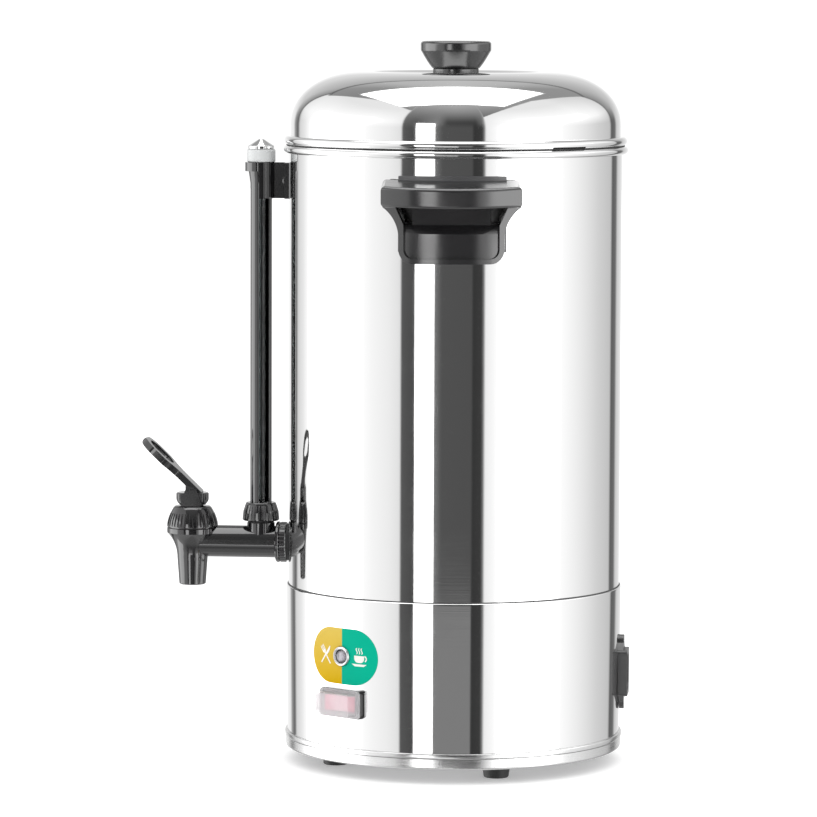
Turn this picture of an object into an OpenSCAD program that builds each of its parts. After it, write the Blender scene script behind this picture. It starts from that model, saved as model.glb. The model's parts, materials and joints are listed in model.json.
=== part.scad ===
// Coffee urn: a percolator with a tap, a sight gauge, a lid, two side handles and a mains inlet.
// Millimetres. The origin is on the body's axis at the table, +Z is up and the tap points to -Y.
// Angles are turned about the axis from the tap, counter-clockwise as seen from above.

/* [Body] */
// Outside radius of the tank
tank_r = 111; // [105:0.5:118]
// Sheet thickness of the tank
tank_wall = 0.8; // [0.6:0.1:1.2]
// Height of the seam where the tank enters the skirt
seam_z = 118.7; // [114:0.1:124]
// How far the tank reaches down inside the skirt
tank_tuck = 8; // [5:0.5:9]
// Height where the rims of tank and lid meet
rim_z = 412.3; // [405:0.1:430]
// Section radius of the rolled bead at the tank's rim
rim_bead_r = 2.6; // [1.5:0.1:3.2]
// How far the rim bead stands out from the wall
rim_bead_out = 3.9; // [3.4:0.1:4.6]
// Radius of the pump well in the tank floor
well_r = 32; // [29:0.5:36]
// Depth of the pump well
well_depth = 6; // [4:0.5:9]
// Sheet thickness of the skirt
skirt_wall = 0.8; // [0.6:0.1:1.2]

/* [Base] */
// Height of the base pan's underside
pan_z = 9.4; // [7:0.1:14]
// Bottom of the pan's bead
pan_bead_z = 16.9; // [15.5:0.1:18]
// Height of the pan's bead
pan_bead_h = 3.3; // [2.4:0.1:4]
// How far the pan's wall stands out from the tank wall
pan_out = 1.5; // [1.2:0.1:2.2]
// How far the pan's bead stands out from the pan's wall
pan_bead_out = 0.7; // [0.4:0.1:1.2]
// Rounding of the pan's lower edge
pan_edge_r = 3; // [1:0.5:4]
// How far the pan's upstand reaches into the skirt
pan_upstand = 12; // [8:0.5:16]
// Circle on which the feet stand
foot_circle_r = 83.2; // [70:0.1:92]
// Angle of the first foot
foot_angle = 25; // [20:1:35]
// Radius of a foot at the table
foot_low_r = 8.25; // [7:0.05:10]
// Radius of a foot at the pan
foot_top_r = 9.5; // [8:0.1:12]
// Radius of the foot screw's shank
foot_screw_r = 2; // [1.5:0.1:2.5]
// Radius of the foot screw's head
foot_head_r = 3.8; // [3.2:0.1:4.5]
// Height of the foot screw's head
foot_head_h = 2.6; // [2:0.1:3.2]
// Height of the foot screw's nut
foot_nut_h = 3; // [2.4:0.1:4]
// How far a screw or stud stands past its nut
foot_tail = 2; // [1:0.1:3]
// Width of an air slot in the pan
slot_w = 4; // [3:0.5:6]
// Length of an air slot in the pan
slot_l = 24; // [16:1:30]
// Air slots round the pan
slot_count = 10; // [6:1:12]
// Circle through the middles of the air slots
slot_circle_r = 45; // [40:1:52]

/* [Lid] */
// Height of the lid's crown
lid_top_z = 461.4; // [455:0.1:470]
// Sheet thickness of the lid
lid_wall = 0.8; // [0.6:0.1:1.2]
// How far the lid's side stands in from the tank wall
lid_step = 1; // [0:0.1:2]
// Radius of the crown's edge
crown_r = 58; // [54:0.5:66]
// Height where the lid's side starts to curve in
shoulder_z = 425; // [422:0.5:432]
// Fullness of the shoulder, where 2 is an ellipse
shoulder_power = 2.2; // [2:0.05:2.6]
// How far the middle of the crown is dished
crown_dish = 1.7; // [1:0.1:2.5]
// Width of the slope round the crown's dish
dish_run = 9; // [6:0.5:12]
// Section radius of the lid's rolled bead
lid_bead_r = 3; // [2:0.1:3.4]
// How far the lid's bead stands out from its side
lid_bead_out = 4.2; // [3.6:0.1:4.8]
// How far the lid's lip reaches into the tank
lip_depth = 7; // [5:0.5:10]
// Room round the lid's lip
lip_gap = 1; // [0.6:0.1:1.6]
// Angle of the steam notch in the lid's bead
notch_angle = 136; // [125:1:145]
// Width of the steam notch
notch_w = 28; // [20:1:34]
// Height of the steam notch
notch_h = 1.6; // [1:0.1:2.4]
// Radius of a vent hole
vent_r = 2; // [1.5:0.1:3]
// Circle of the vent holes
vent_circle_r = 43; // [38:0.5:45]
// Angle of the first vent hole
vent_angle = 60; // [40:1:80]

/* [Knob] */
// Radius of the knob at its top
knob_r = 23.5; // [21:0.1:27]
// Radius of the knob at its neck
knob_neck_r = 15.2; // [14:0.1:18]
// Height of the knob above its collar
knob_h = 18.3; // [16:0.1:22]
// Height of the knob's straight rim
knob_rim_h = 6; // [4:0.5:7]
// Fullness of the knob's side, where 1 is a cone
knob_fullness = 0.85; // [0.7:0.05:1.2]
// Rounding of the knob's upper edge
knob_edge_r = 2; // [1:0.1:3]
// Width of the lip round the knob's hollow
knob_lip = 7; // [5:0.5:9]
// Depth of the hollow in the knob's top
knob_hollow = 1.2; // [0.6:0.1:2]
// Radius of the collar under the knob
collar_r = 15.3; // [13:0.1:18]
// Height of the collar under the knob
collar_h = 3.5; // [2.5:0.1:5]
// Radius of the knob's screw
knob_screw_r = 2.5; // [2:0.1:3]
// Depth of the screw's hole in the knob
knob_bore = 10; // [8:0.5:12]

/* [Handles] */
// Angle of the right handle
handle_angle = 94; // [88:1:98]
// Width of the grip
grip_w = 90.5; // [84:0.5:96]
// Height of the grip's front
grip_h = 13.6; // [12:0.1:15]
// Rounding of the grip's front edges
grip_edge_r = 2.5; // [1:0.1:4]
// Rounding of the grip's ends
grip_corner_r = 3; // [2:0.1:5]
// How far the grip's ends stand out over the flare below them
grip_lip = 0.8; // [0.4:0.1:2]
// How far the grip reaches out from the tank
grip_reach = 42; // [38:0.5:48]
// Radius of the grip's bowed front
grip_bow_r = 90; // [80:1:110]
// Height of the grip's upper face at the tank
grip_top_z = 393.3; // [388:0.1:398]
// Forward slope of the grip
grip_tilt = 5; // [2:0.5:9]
// Width of the handle's lower body
stalk_w = 68; // [62:0.5:74]
// How far the lower body reaches out from the tank
stalk_reach = 32; // [28:0.5:36]
// Height of the handle's lower edge
stalk_z = 341; // [335:0.5:346]
// Rounding of the lower corners
stalk_corner_r = 9; // [6:0.5:12]
// Radius of the hollow flare under the grip's ends
flare_r = 24; // [20:0.5:28]
// Thickness of the handle's outer walls
handle_wall = 3.2; // [2.6:0.1:4.5]
// How deep the front panel is set back
panel_set = 2; // [1:0.1:3]
// Height from the grip down to the front panel's upper edge
recess_h = 19.5; // [17:0.5:21]
// Height of the sloping ledge at the recess's foot
ledge_h = 5.5; // [4:0.5:7]
// Width of the finger recess at the grip
recess_top_w = 72; // [66:0.5:76]
// How far the recess is scooped into the grip's underside
recess_scoop = 0.8; // [0.4:0.1:1.5]
// How far the recess's back wall stands out from the tank
recess_back = 22; // [18:0.5:24]
// Width of the recess's back wall
wall_w = 50.5; // [46:0.5:54]
// Width of the back plate
plate_w = 70; // [64:0.5:76]
// Height of the back plate's upper edge
plate_top_z = 396; // [392:0.1:400]
// Thickness of the back plate
plate_t = 4; // [3:0.1:6]
// How far the back plate stops above the handle's lower edge
plate_foot = 6; // [4:0.5:8]
// Height of the step along the back plate's upper edge
plate_step = 2; // [1:0.1:3]
// Distance of each stud from the handle's middle
stud_x = 20; // [16:0.5:24]
// Height of the studs
stud_z = 351; // [349:0.5:353]
// Radius of a stud
stud_r = 2.5; // [2:0.1:3]
// Radius of a stud nut over its corners
stud_nut_r = 4.6; // [4:0.1:5]
// Height of a stud nut
stud_nut_h = 4; // [3:0.1:5]
// How far the nut seats stand out from the tank
nut_seat = 11; // [9:0.5:13]

/* [Tap] */
// Height of the tap's level tube
tap_z = 144.6; // [140:0.1:150]
// Distance of the spout's middle from the tank
spout_off = 66; // [61:0.5:75]
// Radius of the level tube
tube_r = 10.75; // [10:0.05:11.5]
// Radius of the waterways
bore_r = 6; // [5:0.1:6.5]
// Radius of the flange against the shank nut
flange_r = 13.8; // [13:0.1:15]
// Thickness of the flange
flange_t = 2.5; // [1.8:0.1:3.5]
// Distance of the flange's inner face from the tank
flange_off = 6.3; // [5.8:0.1:7.5]
// Radius of the shank through the tank wall
shank_r = 8; // [7.6:0.1:8.4]
// How far the shank reaches into the tank
shank_in = 14; // [12:0.5:18]
// Radius of the knurled shank nut
nut_r = 13.6; // [13:0.1:14]
// Thickness of the black seals on the shank and the gauge boss
seal_t = 1.5; // [1.2:0.1:2]
// Radius of the seals on the shank
washer_r = 12.4; // [11.5:0.1:13]
// Thickness of the washer inside the tank
washer_t = 3.2; // [2.6:0.1:4]
// Height of the nut inside the tank
shank_nut_h = 5; // [4:0.5:6]
// Radius of the spout at its outlet
spout_low_r = 9; // [8:0.05:9.6]
// Wall of the spout at its outlet
spout_wall = 2.2; // [1.8:0.1:2.6]
// Radius of the spout at its throat
spout_top_r = 10.3; // [9.8:0.05:10.8]
// Height of the outlet
spout_z = 115.3; // [110:0.1:120]
// Height of the throat
throat_z = 133.4; // [131:0.1:135]
// Radius of the throat's waterway
throat_r = 6.4; // [6.2:0.1:6.8]
// Height of the valve seat above the throat
seat_up = 3.4; // [3:0.1:4]
// Width of the valve seat
seat_w = 3; // [2.5:0.1:3.4]
// Radius of the tap head
head_r = 17.25; // [16.5:0.05:19]
// Height of the tap head's upper edge
head_top_z = 153.6; // [152:0.1:156]
// Height of the straight collar on the tap head
head_collar_h = 3.2; // [2:0.1:4]
// Radius of the socket that the bonnet screws into
socket_r = 13.2; // [12.5:0.1:14]
// Height of the bonnet's dome
bonnet_h = 14.7; // [13:0.1:17]
// Radius of the bonnet's top
bonnet_top_r = 12.8; // [11.5:0.1:14]
// Fullness of the bonnet's dome, where 1 is a cone
bonnet_fullness = 1.8; // [1.4:0.1:2.2]
// Thickness of the bonnet's crown and spigot
bonnet_wall = 3; // [2.5:0.1:3.5]
// Length of the bonnet's screwed spigot
spigot_l = 5; // [4:0.5:6]
// Ribs round the bonnet
bonnet_ribs = 40; // [24:2:48]
// Radius of the valve stem
stem_r = 4; // [3.5:0.1:4.5]
// Radius of the stem's lower end and of its head
stem_tip_r = 3; // [2.8:0.1:3.2]
// Height of the stem's lower end above the seat
stem_up = 2.6; // [2.4:0.1:3]
// Radius of the sealing cup
cup_r = 8.6; // [8.2:0.1:9]
// How far the cup reaches into the throat
cup_drop = 0.9; // [0.8:0.1:1]
// Length of the stem inside the cup
cup_grip = 4; // [3.6:0.1:4.4]
// Radius of the stem's spring shoulder
shoulder_r = 8.2; // [7.6:0.1:8.6]
// Height of the stem's spring shoulder
shoulder_h = 2; // [1.5:0.1:2.5]
// Thickness of the stem's flat head
stem_flat = 5.6; // [5:0.1:6]
// Wire radius of the return spring
spring_wire_r = 0.6; // [0.4:0.05:0.7]
// Radius of the return spring
spring_r = 6.2; // [5.8:0.1:6.6]
// Turns of the return spring
spring_turns = 5; // [4:1:6]

/* [Lever] */
// Radius of the lever's foot
lever_foot_r = 11; // [10.5:0.1:12]
// Rounding of the foot's rolling edge
lever_roll_r = 5; // [4.5:0.1:5.5]
// Height of the lever's foot
lever_foot_h = 11; // [10.4:0.1:12]
// Height of the foot's ribbed lobes
lobe_h = 9; // [8.4:0.1:9.6]
// Distance of the foot's flat cheeks from its middle
cheek_out = 8.5; // [8:0.1:9]
// Width of a cheek at the bonnet
cheek_low_w = 14.7; // [13.5:0.1:15.5]
// Width of a cheek at the blade
cheek_top_w = 8; // [7:0.1:10]
// Height of the pin above the foot's underside
lever_pin_h = 5.3; // [5:0.1:5.6]
// Radius of the lever's pin
lever_pin_r = 1.6; // [1.3:0.1:1.8]
// Thickness that covers each end of the pin
pin_cover = 2; // [1.5:0.1:2.5]
// Slope of the lever's blade
lever_slope = 44; // [40:1:46]
// Height of the blade's middle line above the foot, at the stem
blade_up = 13.2; // [12.5:0.1:14]
// Distance along the blade from the stem to the middle of the finger loop
loop_reach = 30.7; // [28:0.1:36]
// Outside radius of the finger loop
loop_r = 12; // [11:0.1:13]
// Radius of the finger loop's opening
loop_hole_r = 7.6; // [7:0.1:8.4]
// Straight length inside the finger loop
loop_straight = 6; // [4:0.5:8]
// Width of the blade at the finger loop
neck_w = 22; // [20:0.1:23]
// How far the blade runs into the loop
neck_in = 4.8; // [4:0.1:6]
// Thickness of the lever's blade
blade_t = 4.4; // [3.8:0.1:5.2]
// Width of the blade at the foot
blade_w = 12; // [11:0.5:14]

/* [Gauge] */
// Distance of the gauge's middle from the tank
gauge_off = 19.5; // [18:0.1:23]
// Radius of the gauge boss on the tube
gauge_boss_r = 9.35; // [9:0.05:9.8]
// Radius of the glass tube
glass_r = 5; // [4.5:0.1:5.2]
// Wall of the glass tube
glass_wall = 1.2; // [1:0.1:1.5]
// How far the glass reaches into its boss
glass_in = 7; // [5:0.5:8]
// Radius of the shield
shield_r = 7.3; // [7.1:0.05:7.8]
// Wall of the shield
shield_wall = 1.5; // [1.2:0.1:1.7]
// How far the shield stands above the foot of the union nut
shield_in = 3; // [2:0.5:4]
// Width of the sight slot in the shield's side
sight_w = 6.2; // [5:0.1:6.6]
// Distance of the slot's inner edge from the gauge's middle
sight_back = 5.6; // [5:0.1:5.7]
// Lower end of the union nut
union_z = 159.2; // [158:0.1:162]
// Height of the union nut
union_h = 12.2; // [10:0.1:14]
// Radius of the union nut at its foot
union_r = 12.5; // [12:0.1:13.5]
// Radius of the union nut at its top
union_top_r = 10.2; // [9.8:0.1:11]
// Ribs round the nuts and the lever's foot
nut_ribs = 32; // [20:2:40]
// Upper end of the shield
shield_top_z = 400.2; // [394:0.1:402]
// Height of the collar at the shield's upper end
shield_collar_h = 6; // [4:0.1:8]
// How far the shield's collar stands out
shield_collar_t = 3.5; // [2.5:0.1:4.5]
// Height of the flare under the collar
shield_neck_h = 8; // [6:0.5:10]
// Height of the bracket
bracket_h = 24; // [20:0.1:28]
// Wall of the bracket's clip
clip_wall = 2.4; // [2:0.1:2.8]
// Width of the bracket's web
web_w = 6; // [5:0.1:9]
// Width of the bracket's pad
pad_w = 24; // [22:0.5:28]
// Thickness of the bracket's pad
pad_t = 3; // [2.5:0.1:3.6]
// Radius of a rivet's shank
rivet_r = 1.6; // [1.2:0.1:2]
// How far a rivet's heads stand out
rivet_lip = 0.9; // [0.7:0.1:1.2]
// Distance of the rivets from the pad's edges
rivet_inset = 4; // [3.6:0.1:4.4]
// Height of the ferrule
ferrule_h = 8.6; // [7:0.1:10]
// Radius of the ferrule
ferrule_r = 9.5; // [9:0.1:10]
// Radius of the cap
cap_r = 8.65; // [8:0.05:9]
// Height of the cap's rim
cap_rim_h = 2.2; // [1.5:0.1:3]
// Height of the cap's cone
cap_cone_h = 4.4; // [3.6:0.1:6]
// Radius of the cap's flat tip
cap_tip_r = 1.6; // [1:0.1:2.5]

/* [Percolator] */
// Outside radius of the riser tube
riser_r = 7; // [6:0.1:8]
// Wall of the riser tube
riser_wall = 0.8; // [0.6:0.1:1]
// Height of the riser's lower end above the pump foot's edge
riser_up = 2; // [1:0.5:3]
// Height of the riser's stop under the basket
stop_h = 3; // [2:0.5:4]
// How far the stop stands out past the sleeve
stop_w = 2; // [1.5:0.1:3]
// Height of the riser's upper end
riser_top_z = 440; // [434:0.5:446]
// Radius of the pump foot
pump_r = 28; // [25:0.5:28.5]
// Height of the pump foot
pump_h = 12; // [9:0.5:16]
// Wall of the pump foot
pump_wall = 1.2; // [1:0.1:1.5]
// Width of the pump foot's neck round the riser
pump_neck = 4; // [3:0.1:5]
// Width of a water gate in the pump foot's rim
gate_w = 6; // [4:0.5:8]
// Outside radius of the filter basket
basket_r = 88; // [80:0.5:96]
// Height of the basket's floor
basket_z = 306; // [290:1:320]
// Height of the basket's wall
basket_h = 92; // [80:1:98]
// Sheet thickness of the basket
basket_wall = 0.8; // [0.6:0.1:1.2]
// How far the basket's lip stands out
basket_lip = 2; // [1.5:0.1:3]
// Radius of a basket hole
basket_hole_r = 2; // [1.5:0.1:2.4]
// Distance between the rings of holes and to the first
hole_step = 18; // [15:0.5:20]
// Distance between the holes along a ring
hole_pitch = 14.5; // [12:0.5:18]
// Radius of the basket's sleeve round the riser
sleeve_r = 9; // [8.8:0.1:10]
// How far the sleeve stops below the basket's rim
sleeve_short = 10; // [6:0.5:14]
// Height of the spreader cover's rim
cover_rim_h = 6; // [5:0.5:9]

/* [Electrics] */
// Angle of the lamp, its label and the switch
panel_angle = 54.4; // [50:0.1:60]
// Height of the lamp
lamp_z = 80.5; // [78:0.1:84]
// Radius of the lamp's bezel
lamp_r = 6.75; // [6:0.05:7.5]
// Radius of the lamp's lens
lens_r = 4.6; // [4:0.05:5]
// Wall of the lamp's sleeve
lamp_wall = 1; // [0.8:0.1:1.4]
// How far the lamp's bezel stands out from the skirt
lamp_out = 2; // [1.6:0.1:2.6]
// Depth of the lamp inside the skirt
lamp_d = 14; // [10:0.5:18]
// Width of the label
label_w = 56.5; // [50:0.5:60]
// Height of the label
label_h = 37; // [33:0.1:38.5]
// Thickness of the label
label_t = 0.3; // [0.2:0.05:0.5]
// Height of the switch
switch_z = 49.6; // [48:0.1:50]
// Width of the switch's bezel
bezel_w = 36; // [34:0.5:40]
// Height of the switch's bezel
bezel_h = 19; // [18:0.1:21]
// Rounding of the bezel's corners
bezel_corner_r = 3; // [2:0.1:4]
// How far the bezel stands out from the skirt
bezel_out = 2; // [1.6:0.1:2.6]
// Depth of the seat inside the bezel's rim
bezel_rim = 0.9; // [0.7:0.1:1.2]
// Width of the bezel's rim
plug_inset = 1.5; // [1.2:0.1:2]
// Width of the switch's body
switch_w = 28; // [26:0.5:29]
// Height of the switch's body
switch_h = 14; // [13:0.1:15]
// Depth of the switch's body
switch_d = 22; // [18:0.5:26]
// Depth of the hollow under the rocker
cavity_d = 9; // [8.4:0.1:10]
// Width of the rocker
rocker_w = 23; // [20:0.5:23.5]
// Height of the rocker
rocker_h = 10; // [9:0.1:11]
// Room at each end of the rocker
rocker_gap = 1; // [0.8:0.1:1.2]
// Room at each side of the rocker
rocker_side = 0.4; // [0.3:0.05:0.5]
// Height of the rocker's ends above its pivot
rocker_t = 4.8; // [4.2:0.1:5]
// Depth of the dip across the rocker's face
rocker_dip = 1.4; // [1:0.1:2]
// Radius of the rocker's pins
rocker_pin_r = 1.5; // [1.2:0.1:1.8]
// Length of each of those pins
rocker_stub = 1.1; // [0.8:0.1:1.3]
// Depth of the rocker's pivot below the bezel's face
rocker_pivot_in = 3.6; // [3.2:0.1:4]
// Tilt of the rocker at rest
rocker_tilt = 9; // [6:0.5:10]
// How far the silicone cover stands out from the bezel
hood_out = 9.5; // [8:0.1:11]
// Wall of the silicone cover
hood_wall = 1.2; // [0.8:0.1:1.6]
// Angle of the mains inlet
inlet_angle = 180; // [172:1:184]
// Height of the mains inlet
inlet_z = 60.6; // [56:0.1:66]
// Height of the inlet's flange over its ears
inlet_h = 50; // [48:0.1:52]
// Height of the inlet's middle
inlet_mid_h = 30.7; // [29:0.1:33]
// Width of the inlet's middle
inlet_w = 24; // [22.5:0.1:27]
// How far the inlet's ears stand out from the skirt
inlet_t = 3.1; // [2.8:0.1:4]
// How far the inlet's middle stands out from its ears
inlet_raise = 2.7; // [2:0.1:3.4]
// Rounding of the inlet's middle
inlet_corner_r = 2; // [1.5:0.1:3]
// Distance between the inlet's screws
inlet_pitch = 40; // [39:0.1:41]
// Radius of the inlet's screws
inlet_screw_r = 1.8; // [1.5:0.1:2]
// Radius of their heads
inlet_head_r = 3.6; // [3.2:0.1:4]
// Width of the inlet's socket
inlet_socket_w = 16.5; // [16:0.1:17]
// Height of the inlet's socket
inlet_socket_h = 24.5; // [24:0.1:25]
// Depth of the inlet's socket
inlet_socket_d = 16; // [14:0.1:18]
// Bevel of the socket's two corners
inlet_bevel = 4; // [3.5:0.1:4.5]
// Wall round the socket
inlet_wall = 1.7; // [1.5:0.1:2]
// Thickness of the floor behind the socket
inlet_floor = 3; // [2:0.1:4]
// Thickness of a contact
pin_w = 2; // [1.8:0.1:2.2]
// Width of a contact
pin_h = 4; // [3.8:0.1:4.2]
// Distance of the contacts from the socket's middle line
pin_x = 2; // [1.8:0.1:2.4]
// Distance of the outer contacts from the earth contact
pin_y = 7; // [6.8:0.1:7.2]
// How far the contacts stand out behind the floor
pin_tail = 6; // [4:0.5:8]
// Radius of the heating element's tube
heater_r = 4; // [3.2:0.1:4.5]
// Radius of the heating element's ring
heater_ring_r = 58; // [54:0.5:66]
// Angle left open between the element's ends
heater_gap = 50; // [40:1:60]
// Length of the element's legs
heater_leg = 34; // [28:0.5:40]
// Length of the element's terminals
heater_tail = 8; // [6:0.5:10]
// Radius of the thermostat
thermostat_r = 12; // [10:0.5:14]
// Height of the thermostat and the cut-out
sensor_h = 10; // [8:0.5:12]
// Angle of the thermostat
thermostat_angle = 215; // [205:1:225]
// Radius of the thermal cut-out
cutout_r = 8; // [7:0.5:9]
// Angle of the thermal cut-out
cutout_angle = 255; // [245:1:265]
// Circle of the thermostat and the cut-out
sensor_circle_r = 85; // [82:0.5:90]

/* [Hidden] */
// Radial room between fixed pieces
fit = 0.05;
// Radial room between a shaft and its hole
run = 0.06;
// Room between pieces that move past each other
free = 0.3;
// Gap left where one piece rests on another
rest_gap = 0.1;
// Chamfer of small edges
edge = 0.6;
// How far a cut runs past the wall it goes through
through = 5;
// Radius of a knurl's groove, and how far its middle stands off the surface
rib_r = 0.65;
rib_off = 0.2;
// How far the lever lifts the stem, and the angle through which it tips to do so
stem_travel = 3.2;
lever_swing = 30;
// Sides of large, middling and small rounds
fine = 180;
mid = 64;
small = 40;
eps = 0.01;

tank_in = tank_r - tank_wall;
tank_z = seam_z - tank_tuck;
well_z = tank_z - well_depth;
rim_bead_x = tank_r + rim_bead_out - rim_bead_r;
skirt_in = tank_r + fit;
skirt_r = skirt_in + skirt_wall;
skirt_z = pan_bead_z + pan_bead_h;
pan_r = tank_r + pan_out;
foot_spots = [for (k = [0:3]) foot_angle + 90 * k];
foot_head_z = pan_z / 2;

lid_low_z = rim_z + free;
lid_r = tank_r - lid_step;
lid_bead_x = lid_r + lid_bead_out - lid_bead_r;
lid_bead_z = lid_low_z + lid_bead_r;
lip_r = tank_in - lip_gap;
crown_z = lid_top_z - crown_dish;
collar_z = crown_z;
knob_z = collar_z + collar_h;

handle_spots = [handle_angle, handle_angle + 180];
grip_low_z = grip_top_z - grip_h;
plate_r = tank_r + fit;
handle_back_r = plate_r + plate_t + fit;
nut_floor_r = tank_r + nut_seat;
recess_r = tank_r + recess_back;
recess_low_z = grip_low_z - recess_h;
recess_foot_z = recess_low_z + ledge_h;
panel_y = -tank_r - stalk_reach + panel_set;
cheek_x = grip_w / 2 - grip_lip;
cheek_top_z = grip_low_z - stalk_reach * tan(grip_tilt);

spout_x = tank_r + spout_off;
gauge_x = tank_r + gauge_off;
flange_in_y = tank_r + flange_off;
flange_out_y = flange_in_y + flange_t;
seal_y = tank_r + seal_t;
socket_z = head_top_z - spigot_l - edge;
seat_z = throat_z + seat_up;
bonnet_z = head_top_z + fit;
bonnet_top_z = bonnet_z + bonnet_h;
bonnet_in_z = bonnet_top_z - bonnet_wall;
bonnet_in_r = socket_r - bonnet_wall;
lever_z = bonnet_top_z + rest_gap;
pin_z = lever_z + lever_pin_h;
lever_pin_l = 2 * (cheek_out - pin_cover);
stem_low_z = seat_z + stem_up;
shoulder_low_z = stem_low_z + cup_grip;
spring_low_z = shoulder_low_z + shoulder_h + rest_gap;
spring_high_z = bonnet_in_z - rest_gap;

boss_top_z = union_z - seal_t;
glass_low_z = boss_top_z - glass_in;
shield_low_z = union_z + shield_in;
ferrule_z = shield_top_z + fit;
glass_high_z = ferrule_z + ferrule_h - 2 * edge;
cap_z = ferrule_z + ferrule_h + fit;
bracket_mid_z = shield_top_z - bracket_h / 2;
rivet_x = pad_w / 2 - rivet_inset;

pump_z = well_z + tank_wall + free;
basket_top_z = basket_z + basket_h;
cover_z = basket_top_z + free;

sleeve_out_r = lens_r + lamp_wall;
lamp_face_r = skirt_r + lamp_out;
bezel_face_r = skirt_r + bezel_out;
plug_w = bezel_w - 2 * plug_inset;
plug_h = bezel_h - 2 * plug_inset;
plug_corner_r = bezel_corner_r - 2 * edge;
rocker_pivot_r = bezel_face_r - rocker_pivot_in;
rocker_pin_l = rocker_h + 2 * rocker_stub;
inlet_ear_r = skirt_r + inlet_t;
inlet_face_r = inlet_ear_r + inlet_raise;
inlet_hole_w = inlet_socket_w + 2 * inlet_wall;
inlet_hole_h = inlet_socket_h + 2 * inlet_wall;
pin_l = inlet_socket_d + pin_tail;
pin_spots = [[-pin_x, pin_y], [-pin_x, -pin_y], [pin_x, 0]];

// Placing helpers

// Turns its children about the body's axis, away from the tap
module at_angle(a) { rotate([0, 0, a]) children(); }

// Lays its children out from the axis at height z: their z points to the tap and their y points up
module outward(z) { translate([0, 0, z]) rotate([90, 0, 0]) children(); }

// Points of an arc about (x, z)
function arc(x, z, r, from, to, steps) =
    [for (k = [0:steps]) let (a = from + (to - from) * k / steps) [x + r * cos(a), z + r * sin(a)]];

function reversed(list) = [for (k = [len(list) - 1:-1:0]) list[k]];

// A solid turned about the axis from an outline of radius and height
module turned(points, sides = mid) { rotate_extrude($fn = sides) polygon(points); }

module ring(outer, inner, z, h, sides = mid) {
    turned([[inner, z], [outer, z], [outer, z + h], [inner, z + h]], sides);
}

// A round hole or rod along z
module rod(r, z, h, sides = small) { translate([0, 0, z]) cylinder(r = r, h = h, $fn = sides); }

module rounded_rect(w, h, r) {
    square([w - 2 * r, h], center = true);
    square([w, h - 2 * r], center = true);
    for (x = [-1, 1], y = [-1, 1]) translate([x * (w / 2 - r), y * (h / 2 - r)]) circle(r, $fn = small);
}

// Grooves of a knurl about a radius, leaning in by an angle
module grooves(count, r, z, h, lean = 0) {
    for (k = [0:count - 1]) rotate([0, 0, 360 * k / count])
        translate([r + rib_off, 0, z]) rotate([0, -lean, 0]) cylinder(r = rib_r, h = h, $fn = 16);
}

// The whole round body out to a radius, used to fit pieces to its surface
module round_body(r) { translate([0, 0, -1]) cylinder(r = r, h = lid_top_z + 2, $fn = fine); }

// Body

module tank() {
    color("#c9ccce") difference() {
        union() {
            turned([[0, well_z], [well_r + tank_wall, well_z], [well_r + tank_wall, tank_z],
                [tank_r, tank_z], [tank_r, rim_z - rim_bead_r], [tank_in, rim_z - rim_bead_r],
                [tank_in, tank_z + tank_wall], [well_r, tank_z + tank_wall], [well_r, well_z + tank_wall],
                [0, well_z + tank_wall]], fine);
            rotate_extrude($fn = fine) translate([rim_bead_x, rim_z - rim_bead_r])
                circle(rim_bead_r, $fn = small);
        }
        outward(tap_z) rod(shank_r + fit, tank_in - through, 2 * through);
        rivet_holes();
    }
}

module base_skirt() {
    low = skirt_in - through;
    color("#c9ccce") difference() {
        ring(skirt_r, skirt_in, skirt_z, seam_z - skirt_z, fine);
        at_angle(panel_angle) {
            outward(lamp_z) rod(sleeve_out_r + fit, low, 2 * through);
            outward(switch_z) translate([0, 0, low]) linear_extrude(2 * through)
                square([switch_w, switch_h], center = true);
        }
        at_angle(inlet_angle) outward(inlet_z) {
            translate([0, 0, low]) linear_extrude(2 * through)
                square([inlet_hole_w, inlet_hole_h], center = true);
            for (s = [-1, 1]) translate([0, s * inlet_pitch / 2, 0])
                rod(inlet_screw_r + fit, low, 2 * through);
        }
    }
}

module base_pan() {
    low = skirt_in - fit;
    inner = low - tank_wall;
    ease = pan_bead_h / 3;
    color("#b4b6b8") difference() {
        turned(concat([[0, pan_z]], arc(pan_r - pan_edge_r, pan_z + pan_edge_r, pan_edge_r, -90, 0, 6),
            [[pan_r, pan_bead_z], [pan_r + pan_bead_out, pan_bead_z + ease],
                [pan_r + pan_bead_out, skirt_z - ease], [pan_r, skirt_z],
                [low, skirt_z], [low, skirt_z + pan_upstand], [inner, skirt_z + pan_upstand],
                [inner, pan_z + tank_wall + pan_edge_r], [inner - pan_edge_r, pan_z + tank_wall],
                [0, pan_z + tank_wall]]), fine);
        for (a = foot_spots) at_angle(a) translate([0, -foot_circle_r, 0])
            rod(foot_screw_r + fit, pan_z - through, 2 * through);
        for (k = [0:slot_count - 1]) at_angle(360 * k / slot_count)
            translate([0, -slot_circle_r, pan_z - through]) linear_extrude(2 * through) slot();
    }
}

module slot() {
    square([slot_w, slot_l - slot_w], center = true);
    for (s = [-1, 1]) translate([0, s * (slot_l - slot_w) / 2]) circle(slot_w / 2, $fn = small);
}

module feet() {
    color("#1b1b1c") for (a = foot_spots) at_angle(a) translate([0, -foot_circle_r, 0])
        turned([[foot_head_r + edge, 0], [foot_low_r - edge, 0], [foot_low_r, edge], [foot_top_r, pan_z],
            [foot_screw_r + fit, pan_z], [foot_screw_r + fit, foot_head_z],
            [foot_head_r + edge, foot_head_z]]);
}

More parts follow.
